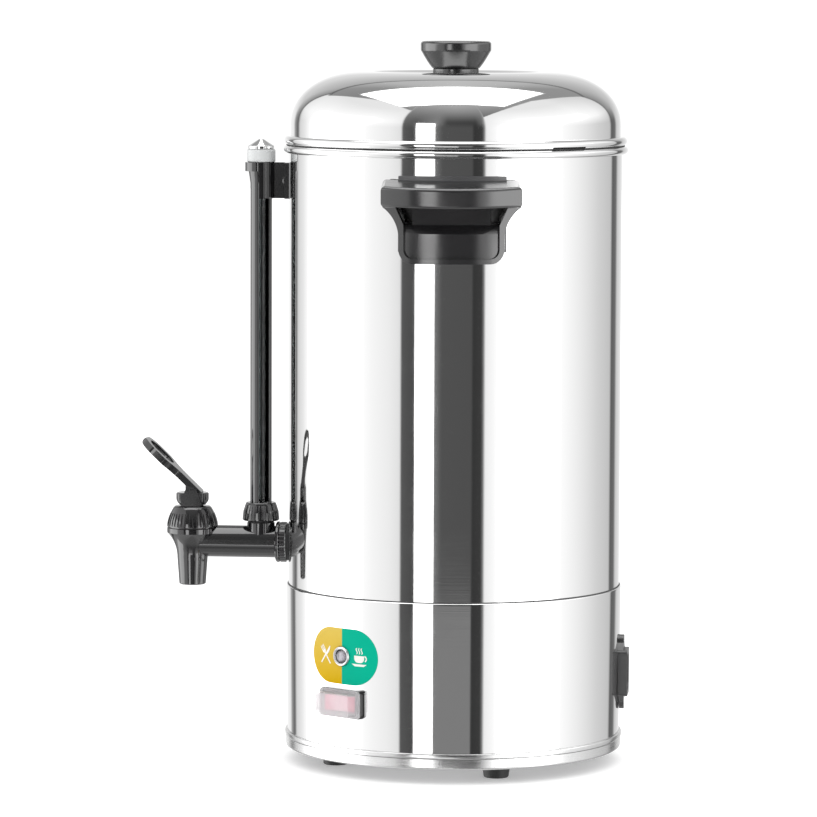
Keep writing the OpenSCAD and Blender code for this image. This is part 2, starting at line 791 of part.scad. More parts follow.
module foot_screws() {
    low = foot_head_z - foot_head_h;
    nut_z = pan_z + tank_wall;
    high = nut_z + foot_nut_h + foot_tail;
    color("#9a9c9e") for (a = foot_spots) at_angle(a) translate([0, -foot_circle_r, 0]) {
        turned([[0, low], [foot_head_r - edge, low], [foot_head_r, low + edge], [foot_head_r, foot_head_z],
            [foot_screw_r, foot_head_z], [foot_screw_r, high], [0, high]]);
        difference() {
            translate([0, 0, nut_z]) cylinder(r = foot_head_r, h = foot_nut_h, $fn = 6);
            rod(foot_screw_r + fit, low, high);
        }
    }
}

// Heating

module heating_element() {
    ring_z = tank_z - heater_r - rest_gap;
    color("#8f8a84") {
        rotate([0, 0, heater_gap / 2 - 90]) rotate_extrude(angle = 360 - heater_gap, $fn = mid)
            translate([heater_ring_r, ring_z]) circle(heater_r, $fn = small);
        for (s = [-1, 1]) at_angle(s * heater_gap / 2) translate([0, -heater_ring_r, ring_z]) {
            sphere(heater_r, $fn = small);
            rod(heater_r, -heater_leg, heater_leg);
            rod(heater_r / 2, -heater_leg - heater_tail, heater_tail + eps);
        }
    }
}

// Round sensor under the tank's floor, with two blade terminals
module sensor(angle, r, h) {
    at_angle(angle) translate([0, -sensor_circle_r, tank_z - rest_gap - h]) {
        cylinder(r = r, h = h, $fn = mid);
        for (s = [-1, 1]) translate([s * r / 2 - r / 4, -tank_wall / 2, -heater_tail])
            cube([r / 2, tank_wall, heater_tail + eps]);
    }
}

module thermostat() {
    color("#d8d4c8") sensor(thermostat_angle, thermostat_r, sensor_h);
}

module thermal_cutout() {
    color("#3a3a3c") sensor(cutout_angle, cutout_r, sensor_h);
}

// Handles

// Front outline of a handle below its grip: straight body, flared out to the grip's ends
module stalk_outline() {
    flare_x = stalk_w / 2 + flare_r;
    flare_z = cheek_top_z - sqrt(pow(flare_r, 2) - pow(flare_x - cheek_x, 2));
    side = concat(
        arc(stalk_w / 2 - stalk_corner_r, stalk_z + stalk_corner_r, stalk_corner_r, -90, 0, 8),
        arc(flare_x, flare_z, flare_r, 180, acos((cheek_x - flare_x) / flare_r), 10),
        [[cheek_x, grip_top_z - grip_h / 4]]);
    polygon(concat(side, reversed([for (p = side) [-p[0], p[1]]])));
}

// Outline of the front panel inside the outer walls, open at its top
module panel_outline() {
    x = stalk_w / 2 - handle_wall;
    r = stalk_corner_r - handle_wall;
    side = concat(arc(x - r, stalk_z + handle_wall + r, r, -90, 0, 6), [[x, recess_foot_z + eps]]);
    polygon(concat(side, reversed([for (p = side) [-p[0], p[1]]])));
}

// Outline of the finger recess, drawn in from the grip to the panel's width
module recess_outline() {
    low_x = stalk_w / 2 - handle_wall;
    top_x = recess_top_w / 2;
    polygon([[-low_x, recess_foot_z], [low_x, recess_foot_z], [top_x, cheek_top_z], [top_x, grip_top_z],
        [-top_x, grip_top_z], [-top_x, cheek_top_z]]);
}

// Bowed front that the grip and the lower body share
module stalk_plan(reach) {
    translate([0, -tank_r - reach + grip_bow_r]) circle(grip_bow_r, $fn = fine);
}

// Tips its children forward with the grip, about the tank's side under it
module tilted() {
    translate([0, -tank_r, grip_low_z]) rotate([grip_tilt, 0, 0]) translate([0, tank_r, 0]) children();
}

// Upper part of a handle: a bowed bar with rounded edges and ends, sloping down to its front
module grip() {
    bow_x = grip_bow_r - grip_edge_r;
    tilted() intersection() {
        translate([0, -tank_r - grip_reach + grip_bow_r, 0]) turned(concat([[0, 0]],
            arc(bow_x, grip_edge_r, grip_edge_r, -90, 0, 6),
            arc(bow_x, grip_h - grip_edge_r, grip_edge_r, 0, 90, 6), [[0, grip_h]]), fine);
        outward(grip_h / 2) linear_extrude(tank_r + 2 * grip_reach)
            rounded_rect(grip_w, grip_h, grip_corner_r);
    }
}

// Everything under the grip's slope, reaching a little way into the grip
module below_grip(into) {
    tilted() translate([-grip_w, -2 * tank_r, -grip_w]) cube([2 * grip_w, 2 * tank_r, grip_w + into]);
}

// Open triangles beside the recess's back wall, through to the tank
module side_windows() {
    intersection() {
        outward(0) linear_extrude(recess_r + eps) difference() {
            recess_outline();
            translate([-wall_w / 2, 0]) square([wall_w, lid_top_z]);
        }
        below_grip(recess_scoop);
    }
}

module handle() {
    low_w = stalk_w - 2 * handle_wall;
    out_y = -tank_r - grip_reach;
    color("#1c1c1d") difference() {
        union() {
            grip();
            intersection() {
                outward(0) linear_extrude(tank_r + grip_reach) stalk_outline();
                translate([0, 0, stalk_z - 1]) linear_extrude(grip_top_z - stalk_z) stalk_plan(stalk_reach);
                below_grip(grip_h / 2);
            }
        }
        round_body(handle_back_r);
        // the front panel, set back inside the outer walls
        intersection() {
            outward(0) linear_extrude(tank_r + grip_reach) panel_outline();
            translate([0, 0, stalk_z]) linear_extrude(grip_top_z - stalk_z) difference() {
                stalk_plan(grip_reach);
                stalk_plan(stalk_reach - panel_set);
            }
        }
        // the finger recess under the grip
        intersection() {
            outward(0) translate([0, 0, recess_r]) linear_extrude(grip_reach) recess_outline();
            below_grip(recess_scoop);
        }
        // the sloping ledge at the recess's foot
        translate([-low_w / 2, 0, 0]) rotate([90, 0, 90]) linear_extrude(low_w) polygon([
            [-recess_r, recess_foot_z + eps], [panel_y, recess_low_z],
            [out_y, recess_low_z], [out_y, recess_foot_z + eps]]);
        side_windows();
        // the hollow from below, with room for the nuts
        translate([0, 0, stalk_z - 1]) linear_extrude(recess_low_z - stalk_z - handle_wall + 1)
            difference() {
                intersection() {
                    stalk_plan(stalk_reach - panel_set - handle_wall);
                    translate([-low_w / 2 + handle_wall, out_y])
                        square([low_w - 2 * handle_wall, grip_reach]);
                }
                circle(nut_floor_r, $fn = fine);
            }
        stud_holes();
    }
}

module stud_holes() {
    for (s = [-1, 1]) outward(stud_z) translate([s * stud_x, 0, 0])
        rod(stud_r + fit, tank_in - through, nut_floor_r - tank_in + 2 * through);
}

module handle_right() { at_angle(handle_spots[0]) handle(); }
module handle_left() { at_angle(handle_spots[1]) handle(); }

// Moulded plate between a handle and the tank, stepped along its upper edge
module handle_plate() {
    low = stalk_z + plate_foot;
    color("#232324") difference() {
        intersection() {
            outward(0) linear_extrude(2 * tank_r) translate([0, (low + plate_top_z) / 2])
                rounded_rect(plate_w, plate_top_z - low, edge);
            round_body(plate_r + plate_t);
        }
        round_body(plate_r);
        difference() {
            translate([-plate_w, -2 * tank_r, plate_top_z - plate_step])
                cube([2 * plate_w, 2 * tank_r, 2 * plate_step]);
            round_body(plate_r + plate_t / 2);
        }
        for (s = [-1, 1]) translate([s * (wall_w + plate_w) / 2 - plate_w / 2, -2 * tank_r, recess_foot_z])
            cube([plate_w, 2 * tank_r, cheek_top_z - recess_foot_z]);
        stud_holes();
    }
}

module handle_plate_right() { at_angle(handle_spots[0]) handle_plate(); }
module handle_plate_left() { at_angle(handle_spots[1]) handle_plate(); }

module handle_studs() {
    nut_y = nut_floor_r + rest_gap;
    low = tank_r - through;
    color("#a4a6a8") for (a = handle_spots, s = [-1, 1]) at_angle(a) difference() {
        outward(stud_z) translate([s * stud_x, 0, 0]) {
            rod(stud_r, low, nut_y + stud_nut_h + foot_tail - low);
            translate([0, 0, nut_y]) cylinder(r = stud_nut_r, h = stud_nut_h, $fn = 6);
        }
        round_body(tank_r + fit);
    }
}

// Tap

// Outline of the tap head and spout
function head_outline() =
    let (flare = head_r - spout_top_r, rise = head_top_z - head_collar_h - throat_z,
        curve = (flare * flare + rise * rise) / (2 * flare), sweep = asin(rise / curve))
    concat([[0, spout_z], [spout_low_r - edge, spout_z], [spout_low_r, spout_z + edge]],
        arc(spout_top_r + curve, throat_z, curve, 180, 180 - sweep, 10),
        [[head_r, head_top_z], [0, head_top_z]]);

module tap_body() {
    low = tank_in - shank_in;
    color("#161617") difference() {
        union() {
            translate([0, -spout_x, 0]) turned(head_outline());
            outward(tap_z) {
                rod(tube_r, flange_in_y + eps, spout_x - flange_in_y, mid);
                turned([[0, flange_in_y], [flange_r - edge, flange_in_y], [flange_r, flange_in_y + edge],
                    [flange_r, flange_out_y - edge], [flange_r - edge, flange_out_y], [0, flange_out_y]]);
                rod(shank_r, low, flange_in_y - low + eps);
            }
            translate([0, -gauge_x, 0]) rod(gauge_boss_r, tap_z, boss_top_z - tap_z, mid);
        }
        translate([0, -spout_x, 0]) turned([[0, spout_z - 1], [spout_low_r - spout_wall, spout_z - 1],
            [throat_r, throat_z], [throat_r, seat_z], [throat_r + seat_w, seat_z + seat_w / 2],
            [bonnet_in_r, socket_z], [socket_r, socket_z], [socket_r, head_top_z],
            [head_r + free, head_top_z], [head_r + free, bonnet_top_z], [0, bonnet_top_z]]);
        outward(tap_z) rod(bore_r, low - 1, spout_x - low, mid);
        translate([0, -gauge_x, 0]) {
            rod(glass_r - glass_wall - edge, tap_z, union_z, mid);
            rod(glass_r + fit, glass_low_z, union_z, mid);
        }
    }
}

// Knurled nut that draws the tap against the tank
module tap_nut() {
    low = seal_y + fit;
    high = flange_in_y - fit;
    color("#161617") outward(tap_z) difference() {
        turned([[shank_r + fit, low], [nut_r - edge, low], [nut_r, low + edge], [nut_r, high - edge],
            [nut_r - edge, high], [shank_r + fit, high]]);
        grooves(nut_ribs, nut_r, low - 1, high - low + 2);
    }
}

// Soft washers, shaped to the round wall outside and inside
module tap_seal() {
    color("#1a1a1b") difference() {
        outward(tap_z) ring(washer_r, shank_r + fit, tank_r - through, seal_y - tank_r + through);
        round_body(tank_r + fit);
    }
}

module shank_washer() {
    color("#d9d6cf") intersection() {
        outward(tap_z) ring(washer_r, shank_r + fit, tank_in - washer_t, 2 * washer_t);
        round_body(tank_in - fit);
    }
}

module shank_nut() {
    low = tank_in - washer_t - fit - shank_nut_h;
    color("#a9abad") outward(tap_z) difference() {
        translate([0, 0, low]) cylinder(r = flange_r, h = shank_nut_h, $fn = 6);
        rod(shank_r + fit, low - 1, shank_nut_h + 2);
    }
}

// Domed cap of the valve, ribbed round its side
module tap_bonnet() {
    rim = 1;
    rib_low = 1.6;
    rib_l = 9;
    lean = atan((head_r - bonnet_top_r) / bonnet_h);
    dome = [for (k = [0:8]) let (t = k / 8)
        [head_r - (head_r - bonnet_top_r) * pow(t, bonnet_fullness), rim + (bonnet_h - 2 * rim) * t]];
    color("#161617") translate([0, -spout_x, 0]) {
        difference() {
            translate([0, 0, bonnet_z]) turned(concat([[0, 0], [head_r - edge, 0]], dome,
                [[bonnet_top_r - 2 * edge, bonnet_h], [0, bonnet_h]]));
            grooves(bonnet_ribs, head_r, bonnet_z + rib_low, rib_l, lean);
            rod(bonnet_in_r, 0, bonnet_in_z, mid);
            rod(stem_r + run, 0, bonnet_top_z + 1, mid);
        }
        ring(socket_r - fit, bonnet_in_r, bonnet_z - spigot_l, spigot_l + eps);
    }
}

// Valve stem: spring shoulder below, flat head with the pin hole above
module tap_stem() {
    shoulder_z = shoulder_low_z + shoulder_h;
    flat_z = bonnet_top_z - stem_travel - free;
    side = 2 * stem_r;
    color("#d6d3c8") translate([0, -spout_x, 0]) difference() {
        union() {
            turned([[0, stem_low_z], [stem_tip_r, stem_low_z], [stem_tip_r, shoulder_low_z],
                [shoulder_r, shoulder_low_z], [shoulder_r, shoulder_z], [stem_r, shoulder_z],
                [stem_r, pin_z], [0, pin_z]]);
            translate([0, 0, pin_z]) rotate([0, 90, 0])
                cylinder(r = stem_tip_r, h = stem_flat, center = true, $fn = mid);
        }
        for (s = [-1, 1]) translate([s * (stem_flat + side) / 2 - side / 2, -side, flat_z])
            cube([side, 2 * side, lever_foot_h]);
        translate([0, 0, pin_z]) rotate([0, 90, 0])
            cylinder(r = lever_pin_r + run, h = 2 * side, center = true, $fn = small);
    }
}

module seat_cup() {
    high = shoulder_low_z - fit;
    hole_r = stem_tip_r + fit;
    low = seat_z - cup_drop;
    color("#e4e1da") translate([0, -spout_x, 0]) turned([[0, low], [bore_r - edge, low],
        [cup_r - edge, seat_z + seat_w], [cup_r, seat_z + seat_w + edge], [cup_r - 2 * edge, high],
        [hole_r, high], [hole_r, stem_low_z - fit], [0, stem_low_z - fit]]);
}

// Helical return spring, swept as one tube
module tap_spring() {
    sides = 6;
    steps = 12 * spring_turns;
    travel = spring_high_z - spring_low_z - 2 * spring_wire_r;
    points = [for (k = [0:steps], s = [0:sides - 1])
        let (turn = 360 * spring_turns * k / steps, a = 360 * s / sides,
            r = spring_r + spring_wire_r * cos(a))
        [r * cos(turn), r * sin(turn) - spout_x,
            spring_low_z + spring_wire_r + travel * k / steps + spring_wire_r * sin(a)]];
    sides_faces = [for (k = [0:steps - 1], s = [0:sides - 1], half = [0, 1])
        let (a = k * sides + s, b = k * sides + (s + 1) % sides)
        half == 0 ? [a, a + sides, b] : [b, a + sides, b + sides]];
    low_cap = [for (s = [1:sides - 2]) [0, s, s + 1]];
    high_cap = [for (s = [1:sides - 2]) [steps * sides, steps * sides + s + 1, steps * sides + s]];
    color("#b9bbbd") polyhedron(points, concat(sides_faces, low_cap, high_cap));
}

// Ribbed foot that rolls on the bonnet between two flat cheeks, with the blade and its finger loop
module tap_lever() {
    flat_r = lever_foot_r - lever_roll_r;
    slot_x = stem_flat + 2 * free;
    slot_y = 2 * (stem_r / cos(lever_swing) + lever_pin_h * tan(lever_swing) + free);
    side = [[flat_r, 0], [cheek_low_w / 2, 2 * edge], [cheek_top_w / 2, lever_foot_h]];
    color("#161617") translate([0, -spout_x, lever_z]) difference() {
        union() {
            intersection() {
                difference() {
                    turned(concat([[0, 0]], arc(flat_r, lever_roll_r, lever_roll_r, -90, 0, 8),
                        arc(lever_foot_r - 2 * edge, lobe_h - 2 * edge, 2 * edge, 0, 90, 4), [[0, lobe_h]]));
                    grooves(nut_ribs, lever_foot_r, lever_roll_r / 2, lever_foot_h);
                }
                translate([-cheek_out + edge, -lever_foot_r, 0])
                    cube([2 * (cheek_out - edge), 2 * lever_foot_r, lever_foot_h]);
            }
            rotate([90, 0, 90]) translate([0, 0, -cheek_out]) linear_extrude(2 * cheek_out)
                polygon(concat(side, reversed([for (p = side) [-p[0], p[1]]])));
            blade();
        }
        translate([-slot_x / 2, -slot_y / 2, -1])
            cube([slot_x, slot_y, lever_pin_h + stem_tip_r + 1 + free]);
        translate([0, 0, lever_pin_h]) rotate([0, 90, 0])
            cylinder(r = lever_pin_r + fit, h = lever_pin_l + 2 * fit, center = true, $fn = small);
    }
}

// Lever blade: its side outline crossed with its plan
module blade() {
    neck_y = -loop_reach + neck_in;
    intersection() {
        rotate([90, 0, -90]) translate([0, 0, -loop_r - 1]) linear_extrude(2 * loop_r + 2) blade_side();
        translate([0, 0, blade_up]) rotate([-lever_slope, 0, 0]) translate([0, 0, -loop_reach])
            linear_extrude(2 * loop_reach) difference() {
                union() {
                    translate([0, -loop_reach]) loop(loop_r);
                    polygon([[-blade_w / 2, lever_foot_r], [blade_w / 2, lever_foot_r],
                        [blade_w / 2, -lever_foot_r], [neck_w / 2, neck_y], [-neck_w / 2, neck_y],
                        [-blade_w / 2, -lever_foot_r]]);
                }
                translate([0, -loop_reach]) loop(loop_hole_r);
            }
    }
}

// Side view of the blade and its post: out along x, up along y, about the foot
module blade_side() {
    tip = loop_reach + loop_straight / 2 + loop_r;
    translate([0, blade_up]) rotate(lever_slope) {
        translate([-cheek_low_w / 2, -blade_t / 2]) square([tip + cheek_low_w / 2 - blade_t / 2, blade_t]);
        translate([tip - blade_t / 2, 0]) circle(blade_t / 2, $fn = small);
    }
    polygon([[-cheek_low_w / 2, 1], [cheek_low_w / 2, 1], [cheek_top_w / 2, lever_foot_h],
        [cheek_top_w / 2, blade_up + cheek_top_w / 2], [-cheek_top_w / 2, blade_up - cheek_top_w / 2]]);
}

// Rounded loop outline: two circles joined by straight sides
module loop(r) {
    square([2 * r, loop_straight], center = true);
    for (e = [-1, 1]) translate([0, e * loop_straight / 2]) circle(r, $fn = mid);
}

module lever_pin() {
    color("#a9abad") translate([0, -spout_x, pin_z]) rotate([0, 90, 0])
        cylinder(r = lever_pin_r, h = lever_pin_l, center = true, $fn = small);
}

// Gauge

module gauge_nut() {
    rib_low = 1.4;
    lean = atan((union_r - union_top_r) / union_h);
    color("#161617") translate([0, -gauge_x, union_z]) difference() {
        turned([[0, 0], [union_r - edge, 0], [union_r, edge], [union_r - edge, union_h / 2],
            [union_top_r, union_h - edge], [union_top_r - edge, union_h], [0, union_h]]);
        grooves(nut_ribs, union_r, rib_low, union_h - 2 * rib_low, lean);
        rod(glass_r + fit, -1, union_h + 2, mid);
        rod(shield_r + fit, shield_low_z - union_z, union_h, mid);
    }
}

module gauge_seal() {
    color("#1a1a1b") translate([0, -gauge_x, 0])
        ring(gauge_boss_r - edge, glass_r + fit, boss_top_z, union_z - boss_top_z);
}

module gauge_glass() {
    color("#dfe8ea") translate([0, -gauge_x, 0])
        ring(glass_r, glass_r - glass_wall, glass_low_z, glass_high_z - glass_low_z);
}

// Guard tube, open at both sides along its length, with a part collar at its upper end
module gauge_shield() {
    inner = shield_r - shield_wall;
    collar_z = shield_top_z - shield_collar_h;
    neck_z = collar_z - shield_neck_h;
    slot_low = union_z + union_h + edge;
    slot_high = collar_z - edge;
    wide = 4 * shield_r;
    color("#19191a") translate([0, -gauge_x, 0]) difference() {
        union() {
            ring(shield_r, inner, shield_low_z, shield_top_z - shield_low_z);
            intersection() {
                turned([[inner, neck_z], [shield_r, neck_z], [shield_r + 2 * edge, collar_z],
                    [shield_r + shield_collar_t, collar_z], [shield_r + shield_collar_t, shield_top_z],
                    [inner, shield_top_z]]);
                translate([-wide / 2, -wide, neck_z - 1]) cube([wide, wide - edge, bracket_h]);
            }
        }
        translate([0, sight_back - sight_w, slot_low]) cube([wide, sight_w, slot_high - slot_low]);
    }
}

module gauge_ferrule() {
    high = ferrule_z + ferrule_h;
    color("#cfd1d1") translate([0, -gauge_x, 0]) turned([[glass_r + fit, ferrule_z],
        [ferrule_r - edge, ferrule_z], [ferrule_r, ferrule_z + edge], [ferrule_r, high - edge],
        [ferrule_r - edge, high], [glass_r + fit, high]]);
}

module gauge_cap() {
    high = cap_rim_h + cap_cone_h;
    color("#d4d6d8") translate([0, -gauge_x, cap_z]) turned([[0, 0], [cap_r - edge / 2, 0],
        [cap_r, edge / 2], [cap_r, cap_rim_h], [cap_tip_r, high], [0, high]]);
}

// Clip round the shield's inner half, web and pad on the tank
module gauge_bracket() {
    clip_r = shield_r + fit + clip_wall;
    color("#19191a") difference() {
        translate([0, 0, shield_top_z - bracket_h]) linear_extrude(bracket_h) difference() {
            union() {
                translate([0, -gauge_x]) circle(clip_r, $fn = mid);
                translate([-web_w / 2, -gauge_x]) square([web_w, gauge_x - tank_r + pad_t]);
                intersection() {
                    translate([-pad_w / 2, -tank_r - pad_t]) square([pad_w, 2 * pad_t]);
                    circle(tank_r + pad_t, $fn = fine);
                }
            }
            translate([0, -gauge_x]) circle(shield_r + fit, $fn = mid);
            translate([-2 * clip_r, -gauge_x - 2 * clip_r - edge / 2]) square([4 * clip_r, 2 * clip_r]);
            circle(tank_r + fit, $fn = fine);
        }
        rivet_holes();
    }
}

module rivet_holes() {
    for (s = [-1, 1]) outward(bracket_mid_z) translate([s * rivet_x, 0, 0])
        rod(rivet_r + fit, tank_in - through, 3 * through);
}

module bracket_rivets() {
    head_y = tank_r + pad_t + fit;
    tail_y = tank_in - rivet_lip;
    lip = rivet_r + rivet_lip;
    color("#1a1a1b") for (s = [-1, 1]) outward(bracket_mid_z) translate([s * rivet_x, 0, 0])
        turned([[0, tail_y - rivet_lip], [lip, tail_y - rivet_lip], [lip, tail_y], [rivet_r, tail_y],
            [rivet_r, head_y], [lip + edge, head_y], [lip, head_y + rivet_lip], [0, head_y + 2 * edge]]);
}

// Lid

// Points of the lid's shoulder, drawn in by a sheet thickness
function shoulder(inset, steps) =
    let (w = lid_r - crown_r - inset, h = lid_top_z - shoulder_z - inset)
    [for (k = [0:steps]) let (t = 90 * k / steps)
        [crown_r + w * pow(cos(t), 2 / shoulder_power), shoulder_z + h * pow(sin(t), 2 / shoulder_power)]];

module lid() {
    dish_r = crown_r - dish_run;
    brow_r = crown_r - dish_run / 3;
    brow_z = lid_top_z - crown_dish / 6;
    lip_low_z = lid_low_z - lip_depth;
    lip_in = lip_r - lid_wall;
    color("#cdd0d2") difference() {
        union() {
            turned(concat([[lip_r, lip_low_z], [lip_r, lid_bead_z], [lid_r, lid_bead_z]], shoulder(0, 14),
                [[brow_r, brow_z], [dish_r, crown_z], [0, crown_z], [0, crown_z - lid_wall],
                    [dish_r, crown_z - lid_wall], [brow_r, brow_z - lid_wall]],
                reversed(shoulder(lid_wall, 14)), [[lid_r - lid_wall, lid_bead_z + lid_bead_r],
                    [lip_in, lid_bead_z + lid_wall], [lip_in, lip_low_z]]), fine);
            rotate_extrude($fn = fine) translate([lid_bead_x, lid_bead_z]) circle(lid_bead_r, $fn = small);
        }
        for (a = [0, 180]) at_angle(notch_angle + a)
            translate([-notch_w / 2, -lid_r - 2 * lid_bead_out, lid_low_z - 1])
                cube([notch_w, 2 * lid_bead_out - eps, notch_h + 1]);
        for (a = [0, 180]) at_angle(vent_angle + a) translate([0, -vent_circle_r, 0])
            rod(vent_r, crown_z - through, 2 * through);
        rod(knob_screw_r + fit, crown_z - through, 2 * through);
    }
}

module knob_collar() {
    color("#1b1b1c") ring(collar_r, knob_screw_r + fit, collar_z, collar_h);
}

module lid_knob() {
    waist = [for (k = [0:10]) let (t = k / 10)
        [knob_neck_r + (knob_r - knob_neck_r) * pow(t, knob_fullness), t * (knob_h - knob_rim_h)]];
    color("#1b1b1c") translate([0, 0, knob_z]) difference() {
        turned(concat([[0, 0]], waist,
            arc(knob_r - knob_edge_r, knob_h - knob_edge_r, knob_edge_r, 0, 90, 5),
            [[knob_r - knob_lip, knob_h - knob_hollow], [0, knob_h - knob_hollow]]));
        rod(knob_screw_r + fit, -1, knob_bore + 1);
    }
}

module knob_screw() {
    head_z = crown_z - lid_wall;
    head_r = 2 * knob_screw_r;
    low = head_z - knob_screw_r;
    high = knob_z + knob_bore - 1;
    color("#a9abad") turned([[0, low], [head_r - 2 * edge, low], [head_r, low + 2 * edge], [head_r, head_z],
        [knob_screw_r, head_z], [knob_screw_r, high], [0, high]]);
}

// Percolator

module riser_tube() {
    low = pump_z + riser_up;
    stop_z = basket_z - free - stop_h;
    color("#c2c4c6") {
        ring(riser_r, riser_r - riser_wall, low, riser_top_z - low);
        ring(sleeve_r + stop_w, riser_r - eps, stop_z, stop_h);
    }
}

// Bell under the riser, with feet that let water in round its edge
module riser_foot() {
    high = pump_z + pump_h;
    inner = pump_r - pump_wall;
    color("#c2c4c6") difference() {
        turned([[pump_r, pump_z], [pump_r, pump_z + 2 * pump_wall], [riser_r + pump_neck, high],
            [riser_r + fit, high], [riser_r + fit, high - 2 * pump_wall],
            [inner, pump_z + pump_wall], [inner, pump_z]]);
        for (a = [0:60:300]) at_angle(a) translate([-gate_w / 2, -pump_r - 1, pump_z - 1])
            cube([gate_w, gate_w, pump_wall + 1]);
    }
}

// Rings of drain holes through a floor at height z, out to a radius
module drain_holes(outer, z) {
    for (r = [hole_step:hole_step:outer]) let (count = floor(2 * PI * r / hole_pitch))
        for (k = [0:count - 1]) at_angle(360 * k / count) translate([0, -r, 0])
            rod(basket_hole_r, z - 1, basket_wall + 2, 20);
}

// Perforated basket round a sleeve on the riser
module filter_basket() {
    lip_z = basket_top_z - 2 * basket_wall;
    lip = basket_r + basket_lip;
    inner = basket_r - basket_wall;
    sleeve_z = basket_top_z - sleeve_short;
    color("#c2c4c6") difference() {
        turned([[sleeve_r - basket_wall, basket_z], [basket_r, basket_z], [basket_r, lip_z], [lip, lip_z],
            [lip, basket_top_z], [inner, basket_top_z], [inner, basket_z + basket_wall],
            [sleeve_r, basket_z + basket_wall], [sleeve_r, sleeve_z],
            [sleeve_r - basket_wall, sleeve_z]], 120);
        drain_holes(basket_r - hole_step / 2, basket_z);
    }
}

// Perforated spreader that closes the basket
module basket_cover() {
    hole_r = riser_r + 3 * free;
    rim_r = basket_r + basket_lip / 2;
    rim_z = cover_z + cover_rim_h;
    color("#c2c4c6") difference() {
        turned([[hole_r, cover_z], [rim_r, cover_z], [rim_r, rim_z], [rim_r - basket_wall, rim_z],
            [rim_r - cover_rim_h, cover_z + basket_wall], [hole_r, cover_z + basket_wall]], 120);
        drain_holes(basket_r - hole_step, cover_z);
    }
}

// Switch, lamp and label

module switch_body() {
    body_w = switch_w - 2 * fit;
    body_h = switch_h - 2 * fit;
    color("#141415") at_angle(panel_angle) difference() {
        union() {
            difference() {
                outward(switch_z) translate([0, 0, skirt_r - through]) linear_extrude(bezel_out + through)
                    rounded_rect(bezel_w, bezel_h, bezel_corner_r);
                round_body(skirt_r + fit);
            }
            outward(switch_z) translate([0, 0, skirt_r - switch_d]) linear_extrude(switch_d + bezel_out / 4)
                square([body_w, body_h], center = true);
        }
        outward(switch_z) {
            translate([0, 0, bezel_face_r - bezel_rim]) linear_extrude(through)
                rounded_rect(plug_w + 2 * fit, plug_h + 2 * fit, plug_corner_r + fit);
            translate([0, 0, bezel_face_r - cavity_d]) linear_extrude(cavity_d + through)
                square([rocker_w + 2 * rocker_gap, rocker_h + 2 * rocker_side], center = true);
            translate([0, 0, rocker_pivot_r]) rotate([90, 0, 0]) cylinder(r = rocker_pin_r + run,
                h = rocker_pin_l + 2 * rocker_side, center = true, $fn = small);
        }
    }
}

// Rocker at its resting tilt, on two stub pins
module switch_rocker() {
    side = [[2 * rocker_pin_r, -2 * rocker_pin_r], [rocker_w / 2, 0], [rocker_w / 2, rocker_t]];
    color("#d8485a") at_angle(panel_angle) outward(switch_z) translate([0, 0, rocker_pivot_r]) {
        rotate([0, rocker_tilt, 0]) rotate([90, 0, 0]) linear_extrude(rocker_h, center = true)
            polygon(concat(side, [[0, rocker_t - rocker_dip]], reversed([for (p = side) [-p[0], p[1]]])));
        rotate([90, 0, 0]) cylinder(r = rocker_pin_r, h = rocker_pin_l, center = true, $fn = small);
    }
}

// Clear silicone hood: a plug inside the bezel's rim, a flange over its face and a hollow dome
module switch_cover() {
    low = bezel_face_r - bezel_rim + fit;
    face = bezel_face_r + fit;
    dome_w = plug_w - 2 * hood_wall;
    dome_h = plug_h - hood_wall;
    color("#dfe2e4") at_angle(panel_angle) outward(switch_z) difference() {
        union() {
            translate([0, 0, low]) linear_extrude(bezel_rim + hood_wall / 2)
                rounded_rect(plug_w, plug_h, plug_corner_r);
            translate([0, 0, face]) linear_extrude(hood_wall)
                rounded_rect(bezel_w - edge, bezel_h - edge, bezel_corner_r - edge / 2);
            translate([0, 0, face]) linear_extrude(hood_out) rounded_rect(dome_w, dome_h, plug_corner_r);
        }
        translate([0, 0, low - 1]) linear_extrude(hood_out + bezel_rim + 1 - hood_wall)
            rounded_rect(dome_w - 2 * hood_wall, dome_h - 2 * hood_wall, plug_corner_r - hood_wall / 2);
    }
}

module lamp_bezel() {
    low = skirt_r - lamp_d;
    color("#b9bbbd") at_angle(panel_angle) difference() {
        outward(lamp_z) turned([[lens_r + fit, low], [sleeve_out_r, low], [sleeve_out_r, skirt_r - through],
            [lamp_r, skirt_r - through], [lamp_r, lamp_face_r - 2 * edge], [lamp_r - edge, lamp_face_r],
            [lens_r + fit, lamp_face_r - edge]]);
        intersection() {
            round_body(skirt_r + label_t + 2 * fit);
            outward(lamp_z) ring(2 * lamp_r, sleeve_out_r, skirt_r - 2 * through, 3 * through);
        }
    }
}

module lamp_lens() {
    low = skirt_r - lamp_d + edge;
    color("#eceeee") at_angle(panel_angle) outward(lamp_z) turned([[0, low], [lens_r, low],
        [lens_r, lamp_face_r - 2 * edge], [lens_r - 2 * edge, lamp_face_r], [lens_r / 2, lamp_face_r + edge],
        [0, lamp_face_r + edge]], small);
}

// Thin pill-shaped label that follows the skirt
module indicator_label() {
    color("#d9b53a") at_angle(panel_angle) intersection() {
        outward(lamp_z) difference() {
            linear_extrude(skirt_r + through) {
                square([label_w - label_h, label_h], center = true);
                for (s = [-1, 1]) translate([s * (label_w - label_h) / 2, 0]) circle(label_h / 2, $fn = mid);
            }
            rod(sleeve_out_r + fit, -1, skirt_r + 2 * through);
        }
        ring(skirt_r + fit + label_t, skirt_r + fit, lamp_z - label_h, 2 * label_h, fine);
    }
}

// Mains inlet

